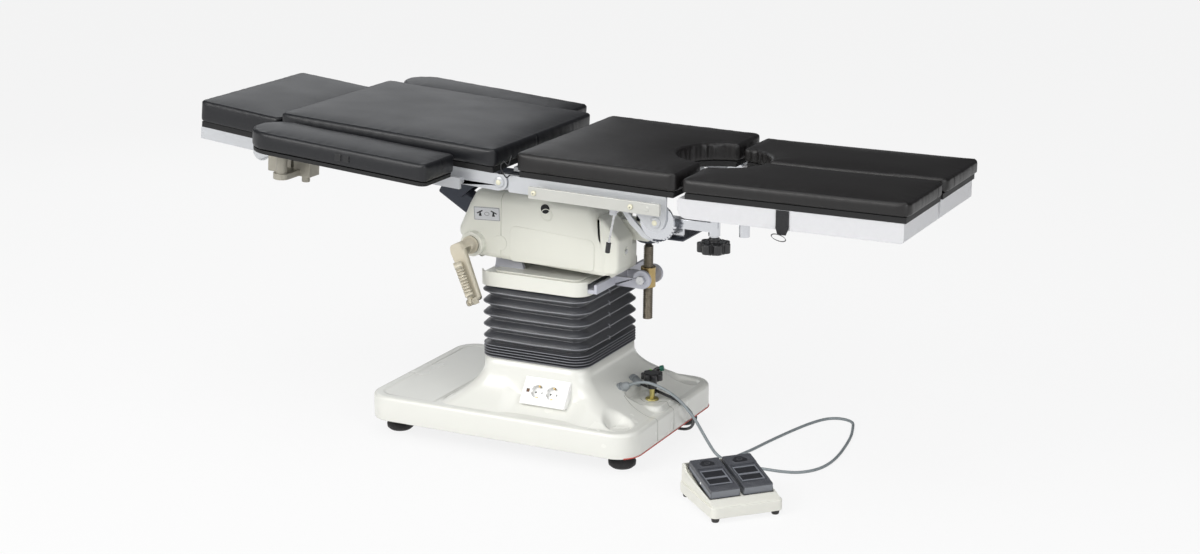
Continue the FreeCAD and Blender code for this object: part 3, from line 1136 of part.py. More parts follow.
def leg_pad(side):
    pad = plan_plate([(LEG_PAD_START, LEG_GAP, 4), (LEG_PAD_END, LEG_GAP, PAD_CORNER), (LEG_PAD_END, TOP_HALF, PAD_CORNER),
                      (LEG_PAD_START, TOP_HALF, PAD_CORNER)], PAD_BOTTOM, LEG_PAD_TOP)
    pad = pad.cut(rod(CUTOUT_RADIUS, (CUTOUT_X, 0, 700), (CUTOUT_X, 0, 900)))
    return at_side(side, cushion(pad))


def leg_knob(side):
    neck = rod(14, (POST_X, POST_Y, KNOB_TOP), (POST_X, POST_Y, SOCKET_BOTTOM - 4.5))
    knob = star_knob(POST_X, POST_Y, KNOB_BOTTOM, KNOB_TOP, KNOB_RADIUS)
    bore = rod(LEG_PIN + PIN_GAP, (POST_X, POST_Y, KNOB_BOTTOM + 3.5), (POST_X, POST_Y, 700))
    return at_side(side, neck.fuse(knob).cut(bore))


def leg_strap():
    """Webbing with a hanging loop, round the near leg's plate."""
    x = STRAP_X
    y = PLATE_Y + 0.3
    band = box(x, x + STRAP_WIDTH, y, y + 2.5, STRAP_BOTTOM - 12, LEG_TOP - 0.3)
    loop_outer = rod(13, (x + 3, y - 10, STRAP_BOTTOM - 10), (x + 3 + 26, y - 10, STRAP_BOTTOM - 10))
    loop = loop_outer.cut(rod(10.5, (x, y - 10, STRAP_BOTTOM - 10), (x + 40, y - 10, STRAP_BOTTOM - 10)))
    return at_side(-1, band.fuse(loop))


def switch_place(shape):
    shape = shape.copy()
    shape.rotate(V(0, 0, 0), V(0, 0, 1), SWITCH_TURN)
    shape.translate(V(SWITCH_X, SWITCH_Y, 0))
    return shape


def foot_switch_housing():
    """Low wedge with two pedal wells, a divider and four small feet."""
    a = SWITCH_LENGTH / 2
    b = SWITCH_WIDTH / 2
    wedge = side_plate([(-a, SWITCH_FOOT, 6), (a, SWITCH_FOOT, 6), (a - 6, SWITCH_FRONT - 16, 10), (a - 14, SWITCH_FRONT - 10, 6),
                        (-a + 30, SWITCH_BACK - 18, 10), (-a + 22, SWITCH_BACK, 8), (-a + 1, SWITCH_BACK, 3)], -b, b)
    for side in (-1, 1):
        middle = side * (PEDAL_WIDTH + PEDAL_GAP) / 2
        wedge = wedge.cut(box(-a + 5, a - 7, middle - PEDAL_WIDTH / 2 - 2, middle + PEDAL_WIDTH / 2 + 2, SWITCH_FOOT + 18, 100))
    tip = b - (PEDAL_WIDTH + PEDAL_GAP / 2) - 2
    wedge = wedge.cut(box(-a + 30, a + 1, -b - 1, -b + tip + 1, SWITCH_FRONT - 2, 100))
    wedge = wedge.cut(box(-a + 30, a + 1, b - tip - 1, b + 1, SWITCH_FRONT - 2, 100))
    pin = rod(PEDAL_PIN, (PEDAL_PIVOT_X, -b + 1, PEDAL_PIVOT_Z), (PEDAL_PIVOT_X, b - 1, PEDAL_PIVOT_Z))
    feet = [rod(9, (sx * (a - 16), sy * (b - 16), 0), (sx * (a - 16), sy * (b - 16), SWITCH_FOOT)) for sx in (-1, 1)
            for sy in (-1, 1)]
    return switch_place(fused([wedge, pin] + feet))


def pedal(side):
    middle = side * (PEDAL_WIDTH + PEDAL_GAP) / 2
    a = PEDAL_LENGTH / 2
    body = box(-a, a, middle - PEDAL_WIDTH / 2, middle + PEDAL_WIDTH / 2, PEDAL_Z, PEDAL_Z + PEDAL_HEIGHT)
    body = body.makeFillet(3, body.Edges)
    lug = box(PEDAL_PIVOT_X - 10, PEDAL_PIVOT_X + 10, middle - PEDAL_WIDTH / 2 + 8, middle + PEDAL_WIDTH / 2 - 8,
              PEDAL_PIVOT_Z - 5, PEDAL_Z + 4)
    body = turned(body, PEDAL_PIVOT_X, PEDAL_PIVOT_Z, PEDAL_REST).fuse(lug)
    bore = rod(PEDAL_PIN + PIN_GAP, (PEDAL_PIVOT_X, middle - 60, PEDAL_PIVOT_Z), (PEDAL_PIVOT_X, middle + 60, PEDAL_PIVOT_Z))
    return switch_place(body.cut(bore))


def cord(name, points, radius):
    """Round tube along straight runs joined by tangent arcs; its bend radii are printed."""
    points = [V(*p) for p in points]
    edges = []
    start = points[0]
    radii = []
    for i in range(1, len(points) - 1):
        before = points[i - 1] - points[i]
        after = points[i + 1] - points[i]
        reach = 0.45 * min(before.Length, after.Length)
        before.normalize()
        after.normalize()
        turn = math.pi - before.getAngle(after)
        bend = reach / math.tan(turn / 2)
        middle = before + after
        middle.normalize()
        nearest = points[i] + middle * (bend / math.cos(turn / 2) - bend)
        first = points[i] + before * reach
        last = points[i] + after * reach
        edges.append(Part.LineSegment(start, first).toShape())
        edges.append(Part.Arc(first, nearest, last).toShape())
        start = last
        radii.append(round(bend))
    edges.append(Part.LineSegment(start, points[-1]).toShape())
    print(name, "bend radii", radii, "length", round(sum(e.Length for e in edges)))
    profile = Part.Wire(Part.makeCircle(radius, points[0], points[1] - points[0]))
    return Part.Wire(edges).makePipeShell([profile], True, False)


def mains_coil():
    x, y = COIL_PLACE
    return Part.makeTorus(COIL_RADIUS, COIL_BUNDLE, V(x, y, COIL_BUNDLE + 0.2))


def mains_plug():
    x, y = COIL_PLACE
    x += COIL_RADIUS + COIL_BUNDLE
    body = box(x, x + 44, y - 17, y + 17, 0.2, 24)
    body = body.makeFillet(6, body.Edges)
    pins = [rod(2.4, (x + 43, y + s * 9.5, 12), (x + 62, y + s * 9.5, 12)) for s in (-1, 1)]
    return fused([body] + pins)


parts = {
    "base_cover": base_cover(),
    "base_chassis": base_chassis(),
    "rubber_feet": rubber_feet(),
    "socket_box": socket_box(),
    "cable_glands": cable_glands(),
    "base_fittings": base_fittings(),
    "lowering_knob": lowering_knob(),
    "outer_column": outer_column(),
    "middle_column": middle_column(),
    "inner_column": inner_column(),
    "lift_actuator": lift_actuator(),
    "actuator_rod": actuator_rod(),
    "bellows": bellows(),
    "column_head": column_head(),
    "head_rim": head_rim(),
    "trunnion_bolts": trunnion_bolts(),
    "tilt_shaft": tilt_shaft(),
    "housing_cover": housing_cover(),
    "crank_cover": crank_cover(),
    "housing_frame": housing_frame(),
    "drive_shaft": drive_shaft(),
    "crank_arm": crank_arm(),
    "crank_handle": crank_handle(),
    "spindle_gearbox": spindle_gearbox(),
    "spindle": spindle(),
    "spindle_nut": spindle_nut(),
    "seat_frame": seat_frame(),
    "seat_rails": seat_rails(),
    "seat_pad": seat_pad(),
    "hinge_pins": hinge_pins(),
    "back_drive_unit": back_drive_unit(),
    "release_lever": release_lever(),
    "antistatic_cord": antistatic_cord(),
    "back_frame": back_frame(),
    "back_pad": back_pad(),
    "head_frame": head_frame(),
    "head_pad": head_pad(),
    "armboard_clamps": armboard_clamps(),
    "leg_strap": leg_strap(),
    "foot_switch_housing": foot_switch_housing(),
    "pedal_left": pedal(-1),
    "pedal_right": pedal(1),
    "foot_switch_cable": cord("foot_switch_cable", CABLE_POINTS, CABLE_RADIUS),
    "mains_lead": cord("mains_lead", LEAD_POINTS, LEAD_RADIUS),
    "mains_coil": mains_coil(),
    "mains_plug": mains_plug(),
}
for word, side in (("near", -1), ("far", 1)):
    parts["armboard_" + word] = armboard(side)
    parts["armboard_pad_" + word] = armboard_pad(side)
    parts["leg_carrier_" + word] = leg_carrier(side)
    parts["leg_frame_" + word] = leg_frame(side)
    parts["leg_pad_" + word] = leg_pad(side)
    parts["leg_knob_" + word] = leg_knob(side)

os.makedirs("parts", exist_ok=True)
for node, shape in parts.items():
    shape.exportStep("parts/" + node + ".step")
    print(node, shape.isValid(), len(shape.Solids), round(shape.Volume / 1000))
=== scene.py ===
"""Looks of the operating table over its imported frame. Lengths are in millimetres until a mesh is made."""
import math

import bmesh
import bpy
import numpy as np
from mathutils import Matrix, Vector, noise
from mathutils.bvhtree import BVHTree


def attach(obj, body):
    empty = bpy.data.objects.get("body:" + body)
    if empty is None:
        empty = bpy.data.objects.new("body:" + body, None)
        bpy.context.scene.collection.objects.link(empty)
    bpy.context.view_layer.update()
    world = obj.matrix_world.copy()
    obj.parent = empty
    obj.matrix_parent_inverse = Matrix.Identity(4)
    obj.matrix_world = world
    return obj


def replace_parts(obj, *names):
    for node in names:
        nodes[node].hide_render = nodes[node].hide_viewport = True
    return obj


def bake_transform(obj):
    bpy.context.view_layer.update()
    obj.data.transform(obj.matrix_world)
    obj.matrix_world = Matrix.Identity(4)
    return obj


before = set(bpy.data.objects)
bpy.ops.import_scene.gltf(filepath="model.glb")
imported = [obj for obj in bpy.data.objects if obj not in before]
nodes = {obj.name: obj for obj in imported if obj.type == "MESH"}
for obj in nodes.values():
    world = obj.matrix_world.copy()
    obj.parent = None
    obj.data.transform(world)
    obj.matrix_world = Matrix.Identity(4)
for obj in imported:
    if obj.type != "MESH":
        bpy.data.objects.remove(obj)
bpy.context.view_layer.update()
MM = 0.001

# Base
BASE_X = -93.0
BASE_LENGTH = 800.0
BASE_WIDTH = 550.0
BASE_BOTTOM = 45.0
SKIRT_TOP = 113.0
SKIRT_CORNER = 66.0
LEDGE = 24.0
FLARE_LEFT = 92.0
KNOB_BASE = (242.0, -7.0)
KNOB_SHELF_Z = 128.0
SOCKET_X = 19.0
SOCKET_Y = -150.0
SOCKET_Z = 136.0
SOCKET_HEIGHT = 72.0
SOCKET_DEPTH = 68.0
SOCKET_LEAN = 44.0

# Column
COLUMN_X = -36.0
PEDESTAL_TOP = 235.0
BELLOWS_LENGTH = 318.0
BELLOWS_WIDTH = 350.0
BELLOWS_CORNER = 48.0
BELLOWS_TOP = 433.0
FOLD_DEPTH = 20.0
OPEN_FOLDS = 5
SHUT_FOLDS = 5
SHUT_PITCH = 7.6

# Housing and spindle
TILT_X = -143.0
TILT_Z = 545.0
NUT_X = 225.0
NUT_Z = 464.0
SPINDLE_TOP = 605.0
SPINDLE_RADIUS = 13.0
SPINDLE_END = 349.0
THREAD_TOP = 548.0
HOUSING_WIDTH = 280.0

# Table top
TOP_HALF = 280.0
PLATE_Y = 266.0
PLATE_TOP = 765.0
PAD_BOTTOM = 780.3
PAD_TOP = 837.0
BACK_PAD_TOP = 836.0
LEG_PAD_TOP = 826.0
PAD_CORNER = 22.0
CUTOUT_X = 432.0
CUTOUT_RADIUS = 118.0
RAIL_Y = 300.0
RAIL_TOP = 752.0
RAIL_HEIGHT = 30.0
RAIL_SCREWS = (41.0, 312.0)
BACK_HINGE_X = -76.5
BACK_HINGE_Z = 744.6
HEAD_HINGE_X = -829.0
HEAD_HINGE_Z = 702.0
HEAD_HALF = 252.0
ARM_X = -668.0
ARM_Y = 377.0
ARM_HALF = 80.0
ARM_REACH = 484.0
ARM_BOARD_BOTTOM = 758.0
ARM_BOARD = 10.0
ARM_PAD_TOP = 824.0
LEG_HINGE_X = 365.6
LEG_HINGE_Z = 696.6
LEG_BOTTOM = 715.0
STRAP_X = 686.0
STRAP_WIDTH = 34.0

# Foot switch
SWITCH_X = 607.0
SWITCH_Y = -322.0
SWITCH_TURN = -43.5

# Cord routes
CABLE_POINTS = ((171.0, -44.0, 159.0), (222.0, -48.0, 190.0), (288.0, -54.0, 184.0), (348.0, -60.0, 157.0),
                (394.0, -66.0, 114.0), (429.0, -71.0, 64.0), (466.0, -75.0, 18.0), (528.0, -66.0, 4.5),
                (585.0, -60.0, 4.2), (635.0, -59.0, 4.2), (682.0, -46.0, 4.2), (716.0, -2.0, 4.2),
                (728.0, 55.0, 4.2), (727.0, 125.0, 4.2), (716.0, 212.0, 4.2), (703.0, 285.0, 4.2),
                (682.0, 355.0, 4.2), (668.0, 393.0, 4.2), (630.0, 408.0, 4.2), (593.0, 390.0, 4.2),
                (567.0, 334.0, 4.2), (547.0, 264.0, 4.2), (531.0, 195.0, 4.2), (516.0, 125.0, 4.2),
                (505.0, 61.0, 4.2), (488.0, 0.0, 4.2), (474.0, -62.0, 4.2), (476.0, -126.0, 5.0),
                (500.0, -186.0, 12.0), (545.0, -232.1, 24.8))
LEAD_POINTS = ((170.0, 34.0, 157.0), (218.0, 18.0, 150.0), (268.0, 8.0, 142.0), (312.0, 22.0, 122.0),
               (330.0, 56.0, 84.0), (326.0, 86.0, 44.0), (296.0, 112.0, 11.0), (242.0, 130.0, 4.3),
               (170.0, 168.0, 4.2), (90.0, 218.0, 4.2), (16.0, 268.0, 4.2), (-29.3, 311.2, 4.2))
COIL_PLACE = (-70.0, 350.0)


def turn_about(x, z, angle):
    """Turn about the line along Y through x, z."""
    pivot = Vector((x, 0, z))
    turn = Matrix.Rotation(math.radians(angle), 4, "Y")
    return Matrix.Translation(pivot) @ turn @ Matrix.Translation(-pivot)


AT_SEAT = turn_about(TILT_X, TILT_Z, 1.3)
AT_BACK = AT_SEAT @ turn_about(BACK_HINGE_X, BACK_HINGE_Z, 2.2)
AT_HEAD = AT_BACK @ turn_about(HEAD_HINGE_X, HEAD_HINGE_Z, 2.5)
AT_ARM = AT_BACK @ turn_about(ARM_X, ARM_BOARD_BOTTOM, 1.0)
AT_LEG = AT_SEAT @ turn_about(LEG_HINGE_X, LEG_HINGE_Z, -1.3)
MIRROR = Matrix.Scale(-1, 4, (0, 1, 0))
AT_SWITCH = Matrix.Translation((SWITCH_X, SWITCH_Y, 0)) @ Matrix.Rotation(math.radians(SWITCH_TURN), 4, "Z")
AT_FLOOR = Matrix.Identity(4)


def tint(red, green, blue):
    """Linear colour from display values of 0 to 255."""
    return tuple(((v / 255 + 0.055) / 1.055) ** 2.4 if v > 10 else v / 255 / 12.92 for v in (red, green,
                                                                                             blue)) + (1.0,)


def finish_of(tree, colour, rough, metal=0.0, coat=0.0, mottle=0.05, mottle_size=60.0, grain=0.0,
              grain_size=1.0, stretch=(1, 1, 1), cells=False, sheen=0.0, wear=0.0, shine=0.5):
    """Adds one surface finish to a node tree and returns its shader output."""
    make = tree.nodes.new
    link = tree.links.new
    place = make("ShaderNodeTexCoord")
    shader = make("ShaderNodeBsdfPrincipled")
    shader.inputs["Metallic"].default_value = metal
    shader.inputs["Coat Weight"].default_value = coat
    shader.inputs["Coat Roughness"].default_value = 0.12
    shader.inputs["Sheen Weight"].default_value = sheen
    shader.inputs["Specular IOR Level"].default_value = shine
    broad = make("ShaderNodeTexNoise")
    broad.inputs["Scale"].default_value = 1000.0 / mottle_size
    broad.inputs["Detail"].default_value = 5.0
    link(place.outputs["Object"], broad.inputs["Vector"])
    tone = make("ShaderNodeMix")
    tone.data_type = "RGBA"
    tone.inputs["A"].default_value = tuple(c * (1 - mottle) for c in colour[:3]) + (1.0,)
    tone.inputs["B"].default_value = tuple(min(1.0, c * (1 + mottle)) for c in colour[:3]) + (1.0,)
    link(broad.outputs["Fac"], tone.inputs["Factor"])
    surface = tone.outputs["Result"]
    if wear:
        edge = make("ShaderNodeNewGeometry")
        ramp = make("ShaderNodeValToRGB")
        ramp.color_ramp.elements[0].position = 0.53
        ramp.color_ramp.elements[1].position = 0.62
        link(edge.outputs["Pointiness"], ramp.inputs["Fac"])
        worn = make("ShaderNodeMix")
        worn.data_type = "RGBA"
        worn.inputs["B"].default_value = tuple(min(1.0, c + wear) for c in colour[:3]) + (1.0,)
        link(ramp.outputs["Color"], worn.inputs["Factor"])
        link(surface, worn.inputs["A"])
        surface = worn.outputs["Result"]
    link(surface, shader.inputs["Base Color"])
    fine = make("ShaderNodeMapping")
    fine.inputs["Scale"].default_value = stretch
    link(place.outputs["Object"], fine.inputs["Vector"])
    if cells:
        pattern = make("ShaderNodeTexVoronoi")
        height = pattern.outputs["Distance"]
    else:
        pattern = make("ShaderNodeTexNoise")
        pattern.inputs["Detail"].default_value = 3.0
        height = pattern.outputs["Fac"]
    pattern.inputs["Scale"].default_value = 1000.0 / grain_size
    link(fine.outputs["Vector"], pattern.inputs["Vector"])
    gloss = make("ShaderNodeMapRange")
    gloss.inputs["To Min"].default_value = rough * 0.86
    gloss.inputs["To Max"].default_value = min(1.0, rough * 1.16)
    link(broad.outputs["Fac"], gloss.inputs["Value"])
    link(gloss.outputs["Result"], shader.inputs["Roughness"])
    if grain:
        bump = make("ShaderNodeBump")
        bump.inputs["Strength"].default_value = 0.6
        bump.inputs["Distance"].default_value = grain * MM
        link(height, bump.inputs["Height"])
        link(bump.outputs["Normal"], shader.inputs["Normal"])
    return shader.outputs["BSDF"]


def material(name, layers, place=AT_FLOOR, levels=()):
    """Material of one finish, or of several stacked by height in the frame of a section."""
    made = bpy.data.materials.new(name)
    made.use_nodes = True
    tree = made.node_tree
    tree.nodes.clear()
    output = tree.nodes.new("ShaderNodeOutputMaterial")
    shader = finish_of(tree, **layers[0])
    if levels:
        inverse = place.inverted()
        spot = tree.nodes.new("ShaderNodeTexCoord")
        along = tree.nodes.new("ShaderNodeVectorMath")
        along.operation = "DOT_PRODUCT"
        along.inputs[1].default_value = inverse[2][:3]
        tree.links.new(spot.outputs["Object"], along.inputs[0])
        for level, layer in zip(levels, layers[1:]):
            above = tree.nodes.new("ShaderNodeMath")
            above.operation = "GREATER_THAN"
            above.inputs[1].default_value = (level - inverse[2][3]) * MM
            tree.links.new(along.outputs["Value"], above.inputs[0])
            both = tree.nodes.new("ShaderNodeMixShader")
            tree.links.new(above.outputs["Value"], both.inputs[0])
            tree.links.new(shader, both.inputs[1])
            tree.links.new(finish_of(tree, **layer), both.inputs[2])
            shader = both.outputs[0]
    tree.links.new(shader, output.inputs["Surface"])
    return made


COVER = dict(colour=tint(236, 236, 229), rough=0.26, coat=0.35, mottle=0.012, mottle_size=180, grain=0.02,
             grain_size=3)
HOUSING = dict(colour=tint(232, 232, 221), rough=0.36, coat=0.12, mottle=0.015, mottle_size=90, grain=0.03,
               grain_size=1.6)
CHASSIS = dict(colour=tint(72, 74, 80), rough=0.5, metal=0.4, mottle=0.15, grain=0.04)
RUBBER = dict(colour=tint(34, 32, 32), rough=0.62, mottle=0.2, mottle_size=20, grain=0.05, grain_size=1.2,
              wear=0.03)
OUTLET = dict(colour=tint(244, 244, 242), rough=0.3, coat=0.2, mottle=0.01, grain=0.01)
NYLON = dict(colour=tint(150, 155, 158), rough=0.45, mottle=0.06, grain=0.04, grain_size=2)
BLACK = dict(colour=tint(26, 26, 28), rough=0.3, coat=0.25, mottle=0.15, mottle_size=25, grain=0.03,
             wear=0.02)
ZINC = dict(colour=tint(196, 184, 118), rough=0.3, metal=0.85, mottle=0.16, mottle_size=12, grain=0.03,
            grain_size=2)
TUBE = dict(colour=tint(190, 192, 196), rough=0.3, metal=0.9, mottle=0.06, grain=0.03, stretch=(1, 1, 0.05))
BELLOWS = dict(colour=tint(62, 63, 67), rough=0.32, coat=0.2, mottle=0.1, mottle_size=40, grain=0.12,
               grain_size=1.4, sheen=0.15)
# Fold piping, light grey: partly the piping's own colour, partly a painted highlight along the fold edges.
PIPING = dict(colour=tint(134, 135, 140), rough=0.42, mottle=0.2, mottle_size=8, grain=0.08, grain_size=1)
LILAC = dict(colour=tint(196, 197, 206), rough=0.4, metal=0.15, mottle=0.04, grain=0.05, grain_size=1.2)
RIM = dict(colour=tint(232, 232, 223), rough=0.34, coat=0.1, mottle=0.02, grain=0.03)
BOLT = dict(colour=tint(206, 207, 208), rough=0.28, metal=0.9, mottle=0.1, mottle_size=10, grain=0.03)
DARK = dict(colour=tint(58, 62, 72), rough=0.45, metal=0.3, mottle=0.12, grain=0.05)
CRANK = dict(colour=tint(205, 197, 177), rough=0.5, mottle=0.05, mottle_size=30, grain=0.06, grain_size=0.9,
             wear=0.05)
HANDLE = dict(colour=tint(217, 209, 188), rough=0.48, mottle=0.05, mottle_size=20, grain=0.05,
              grain_size=0.9, wear=0.05)
SCREW = dict(colour=tint(146, 138, 124), rough=0.34, metal=0.9, mottle=0.25, mottle_size=14, grain=0.04)
BRASS = dict(colour=tint(178, 156, 108), rough=0.26, metal=0.95, mottle=0.12, mottle_size=18, grain=0.02,
             stretch=(1, 1, 9))
PLATE = dict(colour=tint(202, 204, 207), rough=0.36, metal=0.35, mottle=0.05, mottle_size=120, grain=0.05,
             grain_size=1.0)
BOARD = dict(colour=tint(15, 15, 16), rough=0.6, mottle=0.12, grain=0.05, grain_size=1.5)
RAIL = dict(colour=tint(208, 208, 202), rough=0.33, metal=0.6, mottle=0.06, mottle_size=80, grain=0.03,
            grain_size=0.7, stretch=(0.04, 1, 1))
CREAM = dict(colour=tint(228, 224, 200), rough=0.32, coat=0.2, mottle=0.05, grain=0.02)
CLAMP = dict(colour=tint(168, 164, 152), rough=0.42, metal=0.3, mottle=0.1, grain=0.06)
LEG = dict(colour=tint(219, 219, 221), rough=0.46, metal=0.12, mottle=0.05, mottle_size=14, grain=0.14,
           grain_size=0.9)
CHROME = dict(colour=tint(214, 216, 220), rough=0.16, metal=0.95, mottle=0.05, grain=0.01)
WEBBING = dict(colour=tint(24, 24, 26), rough=0.75, mottle=0.2, mottle_size=5, grain=0.3, grain_size=1.6,
               sheen=0.3)
SWITCH = dict(colour=tint(232, 231, 222), rough=0.42, mottle=0.02, grain=0.04, grain_size=1.4)
PEDAL = dict(colour=tint(72, 74, 80), rough=0.4, mottle=0.08, mottle_size=30, grain=0.1, grain_size=1.0,
             wear=0.05)
PEDAL_DARK = dict(colour=tint(38, 39, 43), rough=0.36, mottle=0.08, grain=0.06)
PEDAL_LIGHT = dict(colour=tint(128, 131, 138), rough=0.36, mottle=0.06, grain=0.05)
CABLE = dict(colour=tint(140, 147, 150), rough=0.42, mottle=0.06, mottle_size=30, grain=0.03)
LEAD = dict(colour=tint(30, 30, 32), rough=0.4, mottle=0.12, grain=0.03)
RED = dict(colour=tint(196, 74, 62), rough=0.45, mottle=0.06, grain=0.02)
GREEN = dict(colour=tint(126, 214, 60), rough=0.4, mottle=0.05, grain=0.02)
DEEP_GREEN = dict(colour=tint(24, 92, 74), rough=0.4, mottle=0.08, grain=0.03)
# Leather of the back, head and arm pads, tinted cool blue as a painted reflection of the bluish sheen on their
# tops.
LEATHER = dict(colour=tint(19, 20, 24), rough=0.4, mottle=0.16, mottle_size=110, grain=0.16, grain_size=1.3,
               cells=True)
WARM_LEATHER = dict(LEATHER, colour=tint(21, 19, 19), rough=0.43)
THREAD = dict(colour=tint(40, 41, 46), rough=0.6, mottle=0.2, mottle_size=4, grain=0.1, grain_size=0.8)
SILVER = dict(colour=tint(206, 207, 209), rough=0.34, metal=0.3, mottle=0.03, grain=0.02)
# Grey painted shade for the cover's groove lines and the slots of the screw heads.
GROOVE = dict(colour=tint(150, 150, 142), rough=0.6, mottle=0.1, mottle_size=10, grain=0.03)
BROWN = dict(colour=tint(112, 76, 44), rough=0.4, mottle=0.1, mottle_size=6, grain=0.02)
# Near-black: painted shade in the housing eye, the socket pin holes and the switch wells, and the print of the
# marking signs.
SHADE = dict(colour=tint(20, 20, 22), rough=0.6, mottle=0.1, mottle_size=8, grain=0.02)

PAINTS = {name: material(name.lower(), [finish]) for name, finish in (
    ("COVER", COVER), ("HOUSING", HOUSING), ("CHASSIS", CHASSIS), ("RUBBER", RUBBER), ("OUTLET", OUTLET),
    ("NYLON", NYLON), ("BLACK", BLACK), ("ZINC", ZINC), ("TUBE", TUBE), ("BELLOWS", BELLOWS),
    ("PIPING", PIPING),
    ("LILAC", LILAC), ("RIM", RIM), ("BOLT", BOLT), ("DARK", DARK), ("CRANK", CRANK), ("HANDLE", HANDLE),
    ("SCREW", SCREW), ("BRASS", BRASS), ("PLATE", PLATE), ("BOARD", BOARD), ("RAIL", RAIL), ("CREAM", CREAM),
    ("CLAMP", CLAMP), ("LEG", LEG), ("CHROME", CHROME), ("WEBBING", WEBBING), ("SWITCH", SWITCH),
    ("PEDAL", PEDAL),
    ("PEDAL_DARK", PEDAL_DARK), ("PEDAL_LIGHT", PEDAL_LIGHT), ("CABLE", CABLE), ("LEAD", LEAD), ("RED", RED),
    ("GREEN", GREEN), ("DEEP_GREEN", DEEP_GREEN), ("LEATHER", LEATHER), ("WARM_LEATHER", WARM_LEATHER),
    ("THREAD", THREAD), ("SILVER", SILVER), ("GROOVE", GROOVE), ("BROWN", BROWN), ("SHADE", SHADE))}
AT_NEAR_LEG = MIRROR @ AT_LEG
PAINTS["SEAT_FRAME"] = material("seat_frame_finish", [PLATE, BOARD], AT_SEAT, (PLATE_TOP + 0.2,))
PAINTS["BACK_FRAME"] = material("back_frame_finish", [PLATE, BOARD], AT_BACK, (PLATE_TOP + 0.2,))
PAINTS["HEAD_FRAME"] = material("head_frame_finish", [PLATE, BOARD], AT_HEAD, (HEAD_HINGE_Z + 30.2,))
PAINTS["LEG_FRAME"] = material("leg_frame_finish", [CHROME, LEG, BOARD], AT_LEG,
                               (LEG_BOTTOM - 1, PLATE_TOP + 0.2))
PAINTS["CARRIER"] = material("carrier_finish", [DARK, CHROME], AT_LEG, (652.0,))
PAINTS["KNOB"] = material("base_knob_finish", [ZINC, BLACK], AT_FLOOR, (157.8,))
PAINTS["LEVER"] = material("lever_finish", [BLACK, BOLT], AT_SEAT, (619.0,))


def add_bevel(piece, width, segments=2, angle=35.0):
    bevel = piece.modifiers.new("Rounded edges", "BEVEL")
    bevel.width = width * MM
    bevel.segments = segments
    bevel.limit_method = "ANGLE"
    bevel.angle_limit = math.radians(angle)
    bevel.use_clamp_overlap = False
    bevel.harden_normals = False
    return bevel


def dress(name, paint, bevel=0.8, segments=2):
    """Gives a CAD node its finish and softened edges."""
    node = nodes[name]
    node.data.materials.clear()
    node.data.materials.append(PAINTS[paint])
    weld = node.modifiers.new("Joined corners", "WELD")
    weld.merge_threshold = 0.00001
    flat = node.modifiers.new("Whole faces", "DECIMATE")
    flat.decimate_type = "DISSOLVE"
    flat.angle_limit = math.radians(1.0)
    if bevel:
        add_bevel(node, bevel, segments)
    even = node.modifiers.new("Even shading", "WEIGHTED_NORMAL")
    even.weight = 90
    even.keep_sharp = False
    return node


def piece(name, shape, body, paint, place=AT_FLOOR, bevel=0.0, smooth=True, slot=None):
    """New object from a shape in millimetres, carried by a body."""
    points, faces = shape
    mesh = bpy.data.meshes.new(name)
    mesh.from_pydata([tuple((place @ Vector(p)) * MM) for p in points], [], faces)
    tidy = bmesh.new()
    tidy.from_mesh(mesh)
    bmesh.ops.recalc_face_normals(tidy, faces=tidy.faces)
    tidy.to_mesh(mesh)
    tidy.free()
    for face in mesh.polygons:
        face.use_smooth = smooth
    mesh.materials.append(PAINTS[paint])
    made = bpy.data.objects.new(name, mesh)
    bpy.context.scene.collection.objects.link(made)
    if bevel:
        add_bevel(made, bevel)
        even = made.modifiers.new("Even shading", "WEIGHTED_NORMAL")
        even.weight = 90
    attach(made, body)
    return made


def joined(shapes):
    points = []
    faces = []
    for more_points, more_faces in shapes:
        start = len(points)
        points.extend(more_points)
        faces.extend([tuple(i + start for i in face) for face in more_faces])
    return points, faces


def moved(shape, matrix):
    return [tuple(matrix @ Vector(p)) for p in shape[0]], shape[1]


def block(x0, x1, y0, y1, z0, z1):
    points = [(x, y, z) for x in (x0, x1) for y in (y0, y1) for z in (z0, z1)]
    return points, [(0, 1, 3, 2), (4, 6, 7, 5), (0, 4, 5, 1), (2, 3, 7, 6), (0, 2, 6, 4), (1, 5, 7, 3)]


def prism(outline, z0, z1):
    count = len(outline)
    points = [(x, y, z0) for x, y in outline] + [(x, y, z1) for x, y in outline]
    sides = [(i, (i + 1) % count, count + (i + 1) % count, count + i) for i in range(count)]
    return points, sides + [tuple(range(count - 1, -1, -1)), tuple(range(count, 2 * count))]


def lathe(profile, steps=36):
    """Closed shape turned about Z from (radius, z) pairs; a radius of 0 closes an end."""
    points = []
    faces = []
    for radius, z in profile:
        for k in range(steps):
            a = 2 * math.pi * k / steps
            points.append((radius * math.cos(a), radius * math.sin(a), z))
    for i in range(len(profile) - 1):
        for k in range(steps):
            after = (k + 1) % steps
            faces.append((i * steps + k, i * steps + after, (i + 1) * steps + after, (i + 1) * steps + k))
    last = (len(profile) - 1) * steps
    faces.append(tuple(range(steps - 1, -1, -1)))
    faces.append(tuple(range(last, last + steps)))
    return points, faces


def facing(place, direction):
    """Matrix that turns Z to a direction and moves the origin to a place."""
    turn = Vector((0, 0, 1)).rotation_difference(Vector(direction)).to_matrix().to_4x4()
    return Matrix.Translation(place) @ turn


